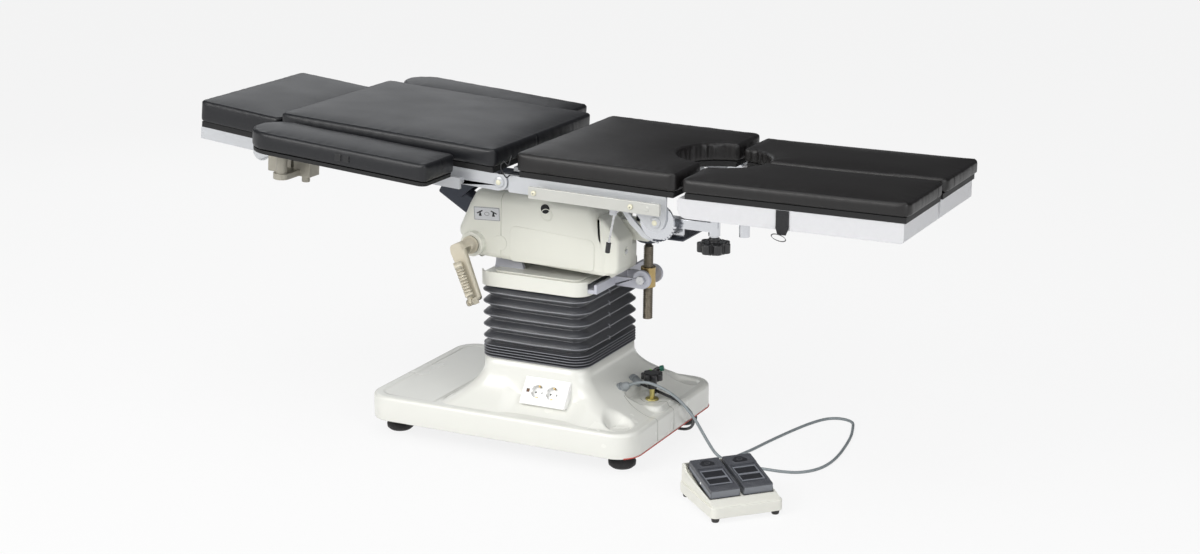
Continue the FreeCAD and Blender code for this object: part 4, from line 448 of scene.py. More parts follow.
def tube(path, radius, sides=10, closed=False):
    """Round tube along points, with capped ends unless it is closed."""
    path = [Vector(p) for p in path]
    count = len(path)
    points = []
    faces = []
    side = None
    for i, spot in enumerate(path):
        if closed:
            along = path[(i + 1) % count] - path[i - 1]
        else:
            along = path[min(i + 1, count - 1)] - path[max(i - 1, 0)]
        along.normalize()
        if side is None:
            side = along.orthogonal().normalized()
        side = (side - along * side.dot(along)).normalized()
        other = along.cross(side)
        for k in range(sides):
            a = 2 * math.pi * k / sides
            points.append(tuple(spot + (side * math.cos(a) + other * math.sin(a)) * radius))
    for i in range(count if closed else count - 1):
        for k in range(sides):
            after = (k + 1) % sides
            row = ((i + 1) % count) * sides
            faces.append((i * sides + k, i * sides + after, row + after, row + k))
    if not closed:
        faces.append(tuple(range(sides - 1, -1, -1)))
        faces.append(tuple(range((count - 1) * sides, count * sides)))
    return points, faces


def rounded(corners, steps=8):
    """Points round a closed plan outline whose corners (x, y, radius) are rounded."""
    points = []
    count = len(corners)
    for i, (x, y, radius) in enumerate(corners):
        here = Vector((x, y))
        if radius <= 0:
            points.append((x, y))
            continue
        before = (Vector(corners[i - 1][:2]) - here).normalized()
        after = (Vector(corners[(i + 1) % count][:2]) - here).normalized()
        half = before.angle(after) / 2
        centre = here + (before + after).normalized() * radius / math.sin(half)
        start = here + before * radius / math.tan(half) - centre
        end = here + after * radius / math.tan(half) - centre
        sweep = start.angle_signed(end)
        for k in range(steps + 1):
            a = -sweep * k / steps
            spoke = Vector((start.x * math.cos(a) - start.y * math.sin(a),
                            start.x * math.sin(a) + start.y * math.cos(a)))
            points.append(tuple(centre + spoke))
    return points


def around(length, width, corner, x, count=320):
    """Points evenly round a rounded rectangle, from the middle of its foot end side."""
    a, b = length / 2 - corner, width / 2 - corner
    arc = math.pi / 2 * corner
    runs = [(b, "foot"), (arc, "c1"), (2 * a, "far"), (arc, "c2"), (2 * b, "head"), (arc, "c3"),
            (2 * a, "near"),
            (arc, "c4"), (b, "foot2")]
    whole = sum(r[0] for r in runs)
    points = []
    for k in range(count):
        s = whole * k / count
        for run, side in runs:
            if s <= run:
                break
            s -= run
        t = s / corner if corner else 0
        spots = {"foot": lambda: (a + corner, s),
                 "c1": lambda: (a + corner * math.cos(t), b + corner * math.sin(t)),
                 "far": lambda: (a - s, b + corner),
                 "c2": lambda: (-a - corner * math.sin(t), b + corner * math.cos(t)),
                 "head": lambda: (-a - corner, b - s),
                 "c3": lambda: (-a - corner * math.cos(t), -b - corner * math.sin(t)),
                 "near": lambda: (-a + s, -b - corner),
                 "c4": lambda: (a + corner * math.sin(t), -b - corner * math.cos(t)),
                 "foot2": lambda: (a + corner, -b + s)}
        u, v = spots[side]()
        points.append((x + u, v))
    return points


def skin(rings, close_start=False, close_end=False):
    """Faces between rings of points that all have the same count."""
    count = len(rings[0])
    points = [p for ring in rings for p in ring]
    faces = []
    for i in range(len(rings) - 1):
        for k in range(count):
            after = (k + 1) % count
            faces.append((i * count + k, i * count + after, (i + 1) * count + after, (i + 1) * count + k))
    if close_start:
        faces.append(tuple(range(count - 1, -1, -1)))
    if close_end:
        faces.append(tuple(range((len(rings) - 1) * count, len(rings) * count)))
    return points, faces


def nearest_on(outline, spots):
    """Distance of each spot from a closed outline, and how far along the outline its nearest point lies."""
    ends = np.array(outline, float)
    following = np.roll(ends, -1, axis=0)
    best = np.full(len(spots), 1e9)
    along = np.zeros(len(spots))
    run = 0.0
    for start, end in zip(ends, following):
        step = end - start
        length = float(np.hypot(*step))
        if length < 1e-9:
            continue
        t = np.clip(((spots - start) @ step) / length ** 2, 0, 1)
        gap = np.hypot(*(spots - start - t[:, None] * step).T)
        nearer = gap < best
        best[nearer] = gap[nearer]
        along[nearer] = run + t[nearer] * length
        run += length
    return best, along


def mesh_points(mesh):
    spots = np.empty(len(mesh.vertices) * 3)
    mesh.vertices.foreach_get("co", spots)
    return spots.reshape(-1, 3)


def evaluated(piece_object):
    """Mesh of an object with its modifiers applied."""
    bpy.context.view_layer.update()
    graph = bpy.context.evaluated_depsgraph_get()
    return bpy.data.meshes.new_from_object(piece_object.evaluated_get(graph), depsgraph=graph)


SWELL_TOP = 8.0
SWELL_SIDE = 3.0


def cushion(name, node, body, outline, bottom, top, place, paint, band_seams=(), gather=None, seed=1):
    """Upholstered pad: a cloth form blown up between its pinned seams, then sewn, puckered and stitched."""
    count = len(outline)
    area = sum(outline[i - 1][0] * outline[i][1] - outline[i][0] * outline[i - 1][1] for i in range(count))
    if area < 0:
        outline = outline[::-1]
    slim = []
    for i in range(count):
        before = Vector(outline[i - 1])
        here = Vector(outline[i])
        after = Vector(outline[(i + 1) % count])
        along = (after - before).normalized()
        slim.append(tuple(here + Vector((-along.y, along.x)) * SWELL_SIDE))
    seam_z = top - SWELL_TOP
    form = prism(slim, bottom + 0.4, seam_z)
    mesh = bpy.data.meshes.new(name + "_form")
    mesh.from_pydata([tuple(Vector(p) * MM) for p in form[0]], [], form[1])
    blank = bpy.data.objects.new(name + "_form", mesh)
    bpy.context.scene.collection.objects.link(blank)
    remesh = blank.modifiers.new("Even grid", "REMESH")
    remesh.mode = "VOXEL"
    remesh.voxel_size = 0.0066
    cloth_mesh = evaluated(blank)
    bpy.data.objects.remove(blank)
    before = mesh_points(cloth_mesh) / MM
    rim, run = nearest_on(slim, before[:, :2])
    cloth_object = bpy.data.objects.new(name + "_cloth", cloth_mesh)
    bpy.context.scene.collection.objects.link(cloth_object)
    pins = cloth_object.vertex_groups.new(name="pins")
    held = (before[:, 2] < bottom + 4) | ((rim < 5) & (before[:, 2] > seam_z - 5))
    pins.add([int(i) for i in np.nonzero(held)[0]], 1.0, "REPLACE")
    cloth = cloth_object.modifiers.new("Cloth", "CLOTH")
    cloth.settings.use_pressure = True
    cloth.settings.uniform_pressure_force = 4.0
    cloth.settings.vertex_group_mass = "pins"
    cloth.settings.effector_weights.gravity = 0.0
    cloth.settings.quality = 4
    cloth.point_cache.frame_start = 1
    cloth.point_cache.frame_end = 20
    for step in range(1, 21):
        bpy.context.scene.frame_set(step)
    settled = evaluated(cloth_object)
    push = mesh_points(settled) / MM - before
    bpy.context.scene.frame_set(1)
    bpy.data.objects.remove(cloth_object)
    push[:, 2] = SWELL_TOP * np.tanh(push[:, 2] / SWELL_TOP)
    push[:, :2] = SWELL_SIDE * np.tanh(push[:, :2] / SWELL_SIDE)
    after = before + push
    cloth_mesh.vertices.foreach_set("co", (after * MM).ravel())
    soft = bpy.data.objects.new(name + "_soft", cloth_mesh)
    bpy.context.scene.collection.objects.link(soft)
    smooth = soft.modifiers.new("Fine grid", "SUBSURF")
    smooth.levels = 1
    smooth.render_levels = 1
    fine = evaluated(soft)
    bpy.data.objects.remove(soft)
    spots = mesh_points(fine) / MM
    spots = sewn(spots, outline, bottom, seam_z, band_seams, gather, seed)
    spots[:, 2] = np.minimum(spots[:, 2], top + 0.4)
    fine.name = name
    turned = np.array(place)
    placed = spots @ turned[:3, :3].T + turned[:3, 3]
    fine.vertices.foreach_set("co", (placed * MM).ravel())
    fine.update()
    for face in fine.polygons:
        face.use_smooth = True
    fine.materials.clear()
    fine.materials.append(PAINTS[paint])
    made = bpy.data.objects.new(name, fine)
    bpy.context.scene.collection.objects.link(made)
    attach(made, body)
    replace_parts(made, node)
    stitches(name + "_stitches", fine, outline, place, body, seam_z)
    return made


def sewn(spots, outline, bottom, seam_z, band_seams, gather, seed):
    """Cuts the seams into a cushion and adds puckers, gathers and soft unevenness."""
    rim, run = nearest_on(outline, spots[:, :2])
    centre = spots[:, :2].mean(axis=0)
    out = spots[:, :2] - centre
    out /= np.maximum(np.hypot(*out.T), 1e-6)[:, None]
    gap = np.hypot(rim - 4.0, spots[:, 2] - seam_z)
    groove = 1.7 * np.exp(-(gap / 3.2) ** 2)
    welt = 0.5 * np.exp(-((gap - 6.0) / 2.2) ** 2)
    on_top = spots[:, 2] > seam_z - 2
    on_side = (rim < 9) & (spots[:, 2] > bottom + 6) & (spots[:, 2] < seam_z + 2)
    spots[:, 2] += np.where(on_top, welt - groove, 0)
    inward = np.where(on_side | on_top, groove - welt * 0.5, 0)
    for place_along in band_seams:
        near = np.exp(-((run - place_along) / 2.4) ** 2)
        inward += np.where(on_side, 1.5 * near, 0)
    pucker = np.zeros(len(spots))
    for i, (x, y, z) in enumerate(spots):
        reach = rim[i]
        broad = noise.noise(Vector((x / 95, y / 95, seed * 3.1)))
        value = 0.55 * broad
        if reach < 70:
            crease = noise.noise(Vector((run[i] / 17, reach / 90 + z / 50, seed * 7.7)))
            value += 0.95 * math.exp(-reach / 24) * crease
        pucker[i] = value
    spots[:, 2] += np.where(on_top & (rim > 2), pucker, 0)
    inward += np.where(on_side, -0.8 * pucker, 0)
    if gather:
        x, y, radius = gather
        from_round = np.hypot(spots[:, 0] - x, spots[:, 1] - y)
        angle = np.arctan2(spots[:, 1] - y, spots[:, 0] - x)
        on_wall = np.exp(-((from_round - radius - 3) / 9) ** 2) * (from_round < radius + 26)
        level = np.clip((spots[:, 2] - bottom) / (seam_z - bottom), 0, 1)
        fold = np.sin(angle * 23 + 1.3 * np.sin(angle * 7 + seed)) * 0.6 + 0.4 * np.sin(angle * 41 + seed)
        depth = 2.6 * fold * on_wall * np.sin(np.pi * level ** 0.8)
        spots[:, 0] += np.cos(angle) * (depth + 1.2 * on_wall)
        spots[:, 1] += np.sin(angle) * (depth + 1.2 * on_wall)
        inward = inward * (1 - on_wall)
    spots[:, :2] -= out * inward[:, None]
    return spots


def stitches(name, mesh, outline, place, body, seam_z):
    """Row of small stitches beside the top seam, each laid on the cushion."""
    tree = BVHTree.FromPolygons([v.co for v in mesh.vertices], [tuple(p.vertices) for p in mesh.polygons])
    inset = []
    count = len(outline)
    for i in range(count):
        along = (Vector(outline[(i + 1) % count]) - Vector(outline[i - 1])).normalized()
        inset.append(Vector(outline[i]) + Vector((-along.y, along.x)) * 9.5)
    up = (place.to_3x3() @ Vector((0, 0, 1))).normalized()
    shapes = []
    left = 0.0
    for i in range(count):
        start = inset[i]
        step = inset[(i + 1) % count] - start
        length = step.length
        while left < length:
            spot = start + step * (left / max(length, 1e-6))
            high = (place @ Vector((spot.x, spot.y, seam_z + 60))) * MM
            hit = tree.ray_cast(high, -up, 0.2)
            if hit[0] is not None:
                middle = hit[0] / MM
                along = (place.to_3x3() @ Vector((step.x, step.y, 0))).normalized()
                along = (along - hit[1] * along.dot(hit[1])).normalized()
                side = hit[1].cross(along)
                shapes.append(([tuple(middle + along * u * 2.3 + side * v * 0.5 + hit[1] * w) for u, v, w in (
                    (-1, -1, -0.2), (-1, 1, -0.2), (1, 1, -0.2), (1, -1, -0.2), (-0.6, 0, 0.45),
                    (0.6, 0, 0.45))],
                    [(0, 3, 2, 1), (0, 4, 5, 3), (1, 2, 5, 4), (0, 1, 4), (2, 3, 5)]))
            left += 6.5
        left -= length
    return piece(name, joined(shapes), body, "THREAD", slot="pad_black")


def flat_hole_plate(loops, z0, z1):
    """Flat plate inside an outer loop and outside the loops of its holes."""
    mesh = bmesh.new()
    edges = []
    sides = []
    for loop in loops:
        start = len(mesh.verts)
        corners = [mesh.verts.new((x, y, z0)) for x, y in loop]
        edges += [mesh.edges.new((corners[i - 1], corners[i])) for i in range(len(corners))]
        sides += [(start + i, start + (i + 1) % len(loop)) for i in range(len(loop))]
    mesh.verts.index_update()
    bmesh.ops.triangle_fill(mesh, edges=edges, use_beauty=True)
    flat = [tuple(v.index for v in face.verts) for face in mesh.faces]
    count = len(mesh.verts)
    points = [(v.co.x, v.co.y, z0) for v in mesh.verts] + [(v.co.x, v.co.y, z1) for v in mesh.verts]
    mesh.free()
    faces = flat + [tuple(i + count for i in reversed(face)) for face in flat]
    return points, faces + [(a, b, b + count, a + count) for a, b in sides]


def circle(x, y, radius, steps=40):
    return [(x + radius * math.cos(2 * math.pi * k / steps), y + radius * math.sin(2 * math.pi * k / steps))
            for k in range(steps)]


def plan_box(x0, x1, y0, y1, corner, steps=5):
    return rounded([(x1, y1, corner), (x0, y1, corner), (x0, y0, corner), (x1, y0, corner)], steps)


def carved(shape, tools):
    """Shape with the tool shapes cut out of it."""
    made = []
    for number, (points, faces) in enumerate([shape] + tools):
        mesh = bpy.data.meshes.new("blank")
        mesh.from_pydata([tuple(Vector(p) * MM) for p in points], [], faces)
        tidy = bmesh.new()
        tidy.from_mesh(mesh)
        bmesh.ops.recalc_face_normals(tidy, faces=tidy.faces)
        tidy.to_mesh(mesh)
        tidy.free()
        made.append(bpy.data.objects.new("blank", mesh))
        bpy.context.scene.collection.objects.link(made[-1])
        if number:
            cut = made[0].modifiers.new("Cut", "BOOLEAN")
            cut.object = made[-1]
            cut.solver = "EXACT"
    whole = evaluated(made[0])
    points = [tuple(v.co / MM) for v in whole.vertices]
    faces = [tuple(p.vertices) for p in whole.polygons]
    for blank in made:
        bpy.data.objects.remove(blank)
    bpy.data.meshes.remove(whole)
    return points, faces


def soft_min(a, b, blend):
    share = np.clip(0.5 + 0.5 * (b - a) / blend, 0, 1)
    return b * (1 - share) + a * share - blend * share * (1 - share)


def beyond(x, y, middle_x, middle_y, half_x, half_y, corner):
    """Distance outside a rounded rectangle, negative inside."""
    over_x = np.abs(x - middle_x) - half_x + corner
    over_y = np.abs(y - middle_y) - half_y + corner
    return np.hypot(np.maximum(over_x, 0), np.maximum(over_y, 0)) + np.minimum(np.maximum(over_x, over_y),
                                                                               0) - corner


def cover_height(x, y):
    """Height of the moulded base cover over a plan position."""
    window = np.clip((134 - np.abs(x - SOCKET_X)) / 62, 0, 1)
    window = window * window * (3 - 2 * window)
    away = np.clip((np.abs(y) - 173) / 14, 0, 1)
    y = np.where(y < 0, y - 17 * away * window, y)
    low = np.zeros_like(x)
    high = np.ones_like(x)
    for _ in range(22):
        spread = (low + high) / 2
        left = COLUMN_X - 155 - spread * FLARE_LEFT
        right = COLUMN_X + 155 + spread * (BASE_X + BASE_LENGTH / 2 - LEDGE - COLUMN_X - 155)
        half = 171 + spread * (BASE_WIDTH / 2 - LEDGE - 171)
        outside = beyond(x, y, (left + right) / 2, 0, (right - left) / 2, half, 44) > 0
        low = np.where(outside, spread, low)
        high = np.where(outside, high, spread)
    spread = (low + high) / 2
    rise = np.arcsin(1 - np.clip(spread, 0, 1) ** (1 / 1.42)) / (np.pi / 2)
    z = SKIRT_TOP + rise * (PEDESTAL_TOP - SKIRT_TOP)
    shelf = beyond(x, y, 236, -7, 50, 56, 20)
    z = np.maximum(z, KNOB_SHELF_Z - 2.2 * np.maximum(shelf, 0))
    z = soft_min(z, KNOB_SHELF_Z + 5 * np.maximum(shelf, 0), 5)
    for side in (-1, 1):
        z = soft_min(z, 108.5 + 1.3 * np.maximum(beyond(x, y, 246, side * 212, 28, 28, 24), 0), 7)
    deck = beyond(x, y, BASE_X, 0, BASE_LENGTH / 2 - 26, BASE_WIDTH / 2 - 26, 42)
    z = z - 1.6 * np.clip(-deck / 3, 0, 1) * np.clip((-289 - x) / 5, 0, 1)
    return z


def make_base_cover():
    """Moulded cover: skirt, sunk head end deck, swept pedestal, knob shelf and corner hollows in one skin."""
    count = 460
    inner = np.array(around(BELLOWS_LENGTH - 8, BELLOWS_WIDTH - 8, BELLOWS_CORNER - 4, COLUMN_X, count))

    def inset(distance):
        return around(BASE_LENGTH - 2 * distance, BASE_WIDTH - 2 * distance, SKIRT_CORNER - distance,
                      BASE_X, count)

    rings = [[(x, y, BASE_BOTTOM) for x, y in inset(4)]]
    rings += [[(x, y, z) for x, y in inset(d)] for d, z in (
        (1.6, BASE_BOTTOM), (0.4, BASE_BOTTOM + 0.8), (0, BASE_BOTTOM + 2.5), (0, 70), (0, 92), (0, 103))]
    for k in range(1, 7):
        a = math.pi / 2 * k / 6
        rings.append([(x, y, 103 + 10 * math.sin(a)) for x, y in inset(10 - 10 * math.cos(a))])
    start = np.array(inset(10))
    steps = 96
    for k in range(1, steps + 1):
        flat = start + (inner - start) * (k / steps)
        heights = cover_height(flat[:, 0], flat[:, 1])
        if k == steps:
            heights[:] = PEDESTAL_TOP
        rings.append([(x, y, z) for (x, y), z in zip(flat, heights)])
    hidden = around(BELLOWS_LENGTH - 20, BELLOWS_WIDTH - 20, BELLOWS_CORNER - 10, COLUMN_X, count)
    rings.append([(x, y, PEDESTAL_TOP) for x, y in hidden])
    rings.append([(x, y, 98) for x, y in hidden])
    rings.append([(x, y, 98) for x, y in inset(16)])
    points, faces = skin(rings)
    last = (len(rings) - 1) * count
    faces += [(k, last + k, last + (k + 1) % count, (k + 1) % count) for k in range(count)]
    cover = piece("base_cover_skin", (points, faces), "base", "COVER", slot="cover_white")
    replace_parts(cover, "base_cover")
    lines = []
    # Thin grey tubes laid on the cover along two lines from the glands over the foot end: painted shade of
    # groove lines, drawn instead of cut.
    for route in (((190, -72), (206, -84), (232, -100), (262, -108), (291, -110)),
                  ((214, -20), (236, -38), (262, -24), (276, -10), (291, -8))):
        spots = curve_through([(x, y, 0) for x, y in route], 60)
        flat = np.array([(p[0], p[1]) for p in spots])
        over = cover_height(flat[:, 0], flat[:, 1])
        path = [(x, y, z + 0.15) for (x, y), z in zip(flat, over)]
        end = path[-1]
        for k in range(1, 7):
            a = math.pi / 2 * k / 6
            path.append((end[0] + 6 + 10 * math.sin(a), end[1], 103 + 10.15 * math.cos(a)))
        path.append((307.15, end[1], 52))
        lines.append(tube(path, 0.75, 6))
    piece("cover_seam_shade", joined(lines), "base", "GROOVE", slot="cover_white")
    edge = [(x, y, BASE_BOTTOM + 1.4) for x, y in inset(-0.2) if x > 262 and abs(y) < 262]
    edge.sort(key=lambda p: p[1])
    piece("skirt_seal", tube(edge, 1.5, 8), "base", "RED", slot="cover_white")


def curve_through(points, count):
    """Evenly counted points on a smooth line through the given ones."""
    spots = [Vector(p) for p in points]
    spots = [spots[0] * 2 - spots[1]] + spots + [spots[-1] * 2 - spots[-2]]
    runs = len(spots) - 3
    line = []
    for k in range(count):
        s = runs * k / (count - 1)
        i = min(int(s), runs - 1)
        t = s - i
        a, b, c, d = spots[i:i + 4]
        line.append(tuple(0.5 * (2 * b + (c - a) * t + (2 * a - 5 * b + 4 * c - d) * t * t
                                 + (3 * b - a - 3 * c + d) * t ** 3)))
    return line


def make_outlets():
    """Frame, inner plate and round inserts with clips on the outlet box's leaning face."""
    rise = SOCKET_HEIGHT - 8
    slope = math.hypot(rise, SOCKET_LEAN)
    up = Vector((0, SOCKET_LEAN / slope, rise / slope))
    out = Vector((0, -rise / slope, SOCKET_LEAN / slope))
    spot = (SOCKET_X, SOCKET_Y - SOCKET_DEPTH + SOCKET_LEAN / 2, SOCKET_Z + SOCKET_HEIGHT / 2 - 4)
    face = Matrix.Translation(spot) @ Matrix(((1, 0, 0, 0), (0, up.y, out.y, 0), (0, up.z, out.z, 0),
                                              (0, 0, 0, 1)))
    holes = [circle(-22, 0, 17.9), circle(22, 0, 17.9)]
    square = plan_box(-55, -45, -5, 5, 0.8, 2)
    piece("outlet_frame", flat_hole_plate([plan_box(-66, 66, -37.4, 37.4, 3)] + holes + [square], 0.02,
                                          2.0), "base",
          "OUTLET", face, 0.7, slot="outlet_white")
    piece("outlet_plate", flat_hole_plate([plan_box(-57, 44, -24.5, 24.5, 2.2)] + holes + [square], 2.0,
                                          3.2), "base",
          "OUTLET", face, 0.5, slot="outlet_white")
    cups = []
    clips = []
    pins = []
    for x in (-22, 22):
        cups.append(moved(flat_hole_plate([circle(0, 0, 17.8), circle(-9.5, 0, 2.5), circle(9.5, 0, 2.5)],
                                          -11.9, -9.2),
                          Matrix.Translation((x, 0, 0))))
        for side in (-1, 1):
            cups.append(block(x + side * 17.6 - 2.6, x + side * 17.6 + 2.6, -4, 4, -11, 1.2))
            clips.append(block(x - 2.6, x + 2.6, side * 16.4 - 1.0, side * 16.4 + 1.0, -10.5, -0.6))
            clips.append(block(x - 2.6, x + 2.6, side * 14.2 - 0.6, side * 14.2 + 0.6, -10.5, -2.6))
            # Dark discs under the pin holes of each insert: painted shade in the holes.
            pins.append(moved(prism(circle(0, 0, 2.7, 20), -11.8, -10.6),
                              Matrix.Translation((x + side * 9.5, 0, 0))))
    piece("outlet_cups", joined(cups), "base", "OUTLET", face, 0.3, slot="outlet_white")
    piece("outlet_clips", joined(clips), "base", "BRASS", face, 0.2, slot="outlet_white")
    piece("outlet_pin_hole_shade", joined(pins), "base", "SHADE", face, 0.1, slot="outlet_white")
    piece("outlet_square", block(-55.2, -44.8, -5.2, 5.2, -5, -1.6), "base", "BROWN", face, 0.3,
          slot="outlet_white")


def make_housing_details():
    """Raised side panel, marking plate with table signs, eye as a painted shade disc, foot end screw and the
    deck below the housing.
    """
    side = -HOUSING_WIDTH / 2
    upright = Matrix(((1, 0, 0, 0), (0, 0, 1, side), (0, 1, 0, 0), (0, 0, 0, 1)))
    panel = rounded([(136, 506, 12), (136, 588, 18), (-112, 598, 18), (-112, 501, 12)])
    piece("housing_panel", prism(panel, -1.3, 0.2), "housing", "HOUSING", AT_SEAT @ upright, 1.2,
          slot="housing_white")
    plate = turn_about(-181, 620, -2.6) @ upright
    outline = plan_box(-220, -142, 602, 638, 1.5, 3)
    piece("marking_plate", prism(outline, -0.9, 0.2), "housing", "SILVER", plate, 0.3, slot="housing_white")
    border = [plan_box(-219, -143, 603, 637, 1.2, 3), plan_box(-218.2, -143.8, 603.8, 636.2, 1.0, 3)]
    marks = [flat_hole_plate(border, -1.05, -0.8)]
    marks.append(flat_hole_plate([oval(-181, 620, 7.5, 5.0), oval(-181, 620, 6.6, 4.1)], -1.05, -0.8))
    for x, lean in ((-201, 24), (-161, -24)):
        turn = Matrix.Translation((x, 622, 0)) @ Matrix.Rotation(math.radians(lean), 4, "Z")
        marks.append(moved(prism(plan_box(-9.5, 9.5, 1.2, 4.4, 0.8, 2), -1.05, -0.8), turn))
        marks.append(moved(prism([(-4.5, -8.6), (4.5, -8.6), (1.8, 1.4), (-1.8, 1.4)], -1.05, -0.8),
                           Matrix.Translation((x, 622, 0))))
    piece("marking_signs", joined(marks), "housing", "SHADE", plate, slot="housing_white")
    # Painted shade: a dark disc on the housing side where it has an opening, the eye.
    piece("housing_eye_shade", moved(prism(circle(0, 0, 12.5), -1.4, 0.4), Matrix.Translation((-9, 655, 0))),
          "housing", "SHADE", AT_SEAT @ upright, slot="black_plastic")
    foot = AT_SEAT @ facing((206, -96, 560), (1, 0, 0))
    piece("foot_cup", lathe([(0.5, 0.1), (9, 0.1), (11.5, 1.4), (13, 0.1), (13, -0.5), (0.5, -0.5)]),
          "housing", "HOUSING", foot, slot="housing_white")
    piece("foot_screw", lathe([(0.5, 0.2), (6.5, 0.2), (6.2, 2.2), (4.6, 3.0), (2.2, 3.0), (2.0, 1.6),
                               (0.5, 1.6)]),
          "housing", "BOLT", foot, slot="bolt_steel")
    caps = [moved(prism(circle(0, 0, 20.6), -0.9, 0.3), Matrix.Translation((TILT_X, TILT_Z, 0))),
            moved(prism(circle(0, 0, 15.5), -0.7, 0.3), Matrix.Translation((-5, 640, 0)))]
    piece("pivot_cap", joined(caps), "housing", "HOUSING", AT_SEAT @ upright, 0.5, slot="housing_white")
    profile = rounded([(150, 497, 4), (197, 503, 14), (205, 520, 12), (206, 596, 16), (160, 646, 14),
                       (138, 652, 4)])
    turned = Matrix(((1, 0, 0, 0), (0, 0, 1, 0), (0, 1, 0, 0), (0, 0, 0, 1)))
    nose = moved(prism(profile, -HOUSING_WIDTH / 2 + 2, -50), turned)
    piece("housing_nose", nose, "housing", "HOUSING", AT_SEAT, 9.0, slot="housing_white")
    screws = []
    slot_shades = []
    for x in RAIL_SCREWS:
        for far in (-1, 1):
            spot = facing((x, far * (RAIL_Y + 1.3), RAIL_TOP - RAIL_HEIGHT / 2), (0, far, 0))
            screws.append(moved(lathe([(0.3, 0), (7.2, 0), (6.6, 1.6), (4.4, 2.9), (0.3, 3.3)]), spot))
            # Cross slots in the screw heads are grey blocks standing on the head: painted shade, not cut.
            for turn in (0, 90):
                slot_shades.append(moved(block(-3.2, 3.2, -0.5, 0.5, 2.4, 3.5),
                                   spot @ Matrix.Rotation(math.radians(turn + 20), 4, "Z")))
    for x, z in ((BACK_HINGE_X, BACK_HINGE_Z), (LEG_HINGE_X, LEG_HINGE_Z)):
        for far in (-1, 1):
            screws.append(moved(lathe([(0.3, 0), (7.2, 0), (6.6, 1.4), (4.4, 2.6), (0.3, 3.0)]),
                                facing((x, far * (PLATE_Y + 5.8), z), (0, far, 0))))
    piece("rail_screws", joined(screws), "seat", "CREAM", AT_SEAT, slot="pin_cream")
    piece("rail_screw_slot_shade", joined(slot_shades), "seat", "GROOVE", AT_SEAT, slot="pin_cream")
    deck = [plan_box(COLUMN_X - 152, COLUMN_X + 152, -166, 166, 36)]
    shelf = [plan_box(COLUMN_X - 128, COLUMN_X + 128, -142, 142, 20)]
    piece("rim_deck", joined([prism(deck[0], 461, 465), prism(shelf[0], 465, 469.5)]), "lift", "RIM",
          AT_FLOOR, 1.6, slot="rim_white")


def oval(x, y, a, b, steps=28):
    return [(x + a * math.cos(2 * math.pi * k / steps),
             y + b * math.sin(2 * math.pi * k / steps)) for k in range(steps)]


def make_base_fittings():
    """Glands, the washer of the knob and the capped elbow behind it."""
    glands = []
    for start, toward in ((CABLE_POINTS[0], CABLE_POINTS[1]), (LEAD_POINTS[0], LEAD_POINTS[1])):
        along = (Vector(toward) - Vector(start)).normalized()
        spot = facing(start, along)
        glands.append(moved(lathe([(4.1, -10), (15.5, -10), (16, -8), (16, 1), (15, 2.2), (4.1, 2.2)]), spot))
        glands.append(moved(prism(circle(0, 0, 13.4, 6), 2.2, 9), spot))
        glands.append(moved(lathe([(4.1, 9), (12, 9), (12.3, 12), (10.8, 19), (7.6, 24), (5.2, 26),
                                   (4.1, 26)]), spot))
    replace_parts(piece("gland_nuts", joined(glands), "base", "NYLON", AT_FLOOR, 0.5, slot="grey_plastic"),
                "cable_glands")
    x, y = KNOB_BASE
    z = KNOB_SHELF_Z
    ring = lathe([(7.2, z - 1), (18, z - 1), (18.4, z + 0.5), (17, z + 3.6), (14, z + 4), (7.2, z + 4)])
    washer = piece("knob_washer", moved(ring, Matrix.Translation((x, y, 0))), "base", "ZINC",
                   slot="yellow_zinc")
    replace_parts(washer, "base_fittings")
    bend = curve_through([(222, 42, 126), (222, 42, 160), (223, 42, 184), (230, 44, 194), (243, 48, 198)], 26)
    elbow = [tube(bend, 5.6, 14), moved(lathe([(0.5, 0), (9.5, 0), (9.5, 7), (7, 9), (0.5, 9)]),
                                        Matrix.Translation((222, 42, 126)))]
    piece("elbow", joined(elbow), "base", "BLACK", slot="black_plastic")
    cap = facing((240, 47, 197.2), (13, 4, 4))
    piece("elbow_cap", moved(lathe([(0.5, 0), (7.4, 0), (7.8, 1), (7.8, 9), (6.6, 10.4), (0.5, 10.4)], 24),
                             cap), "base",
          "DEEP_GREEN", slot="black_plastic")
    tag = facing((215, 38, 186), (1, -1.4, 0.5))
    piece("elbow_tag", moved(prism(plan_box(-5, 5, -8, 8, 2), -1, 1), tag), "base", "GREEN", AT_FLOOR, 0.5,
          slot="black_plastic")


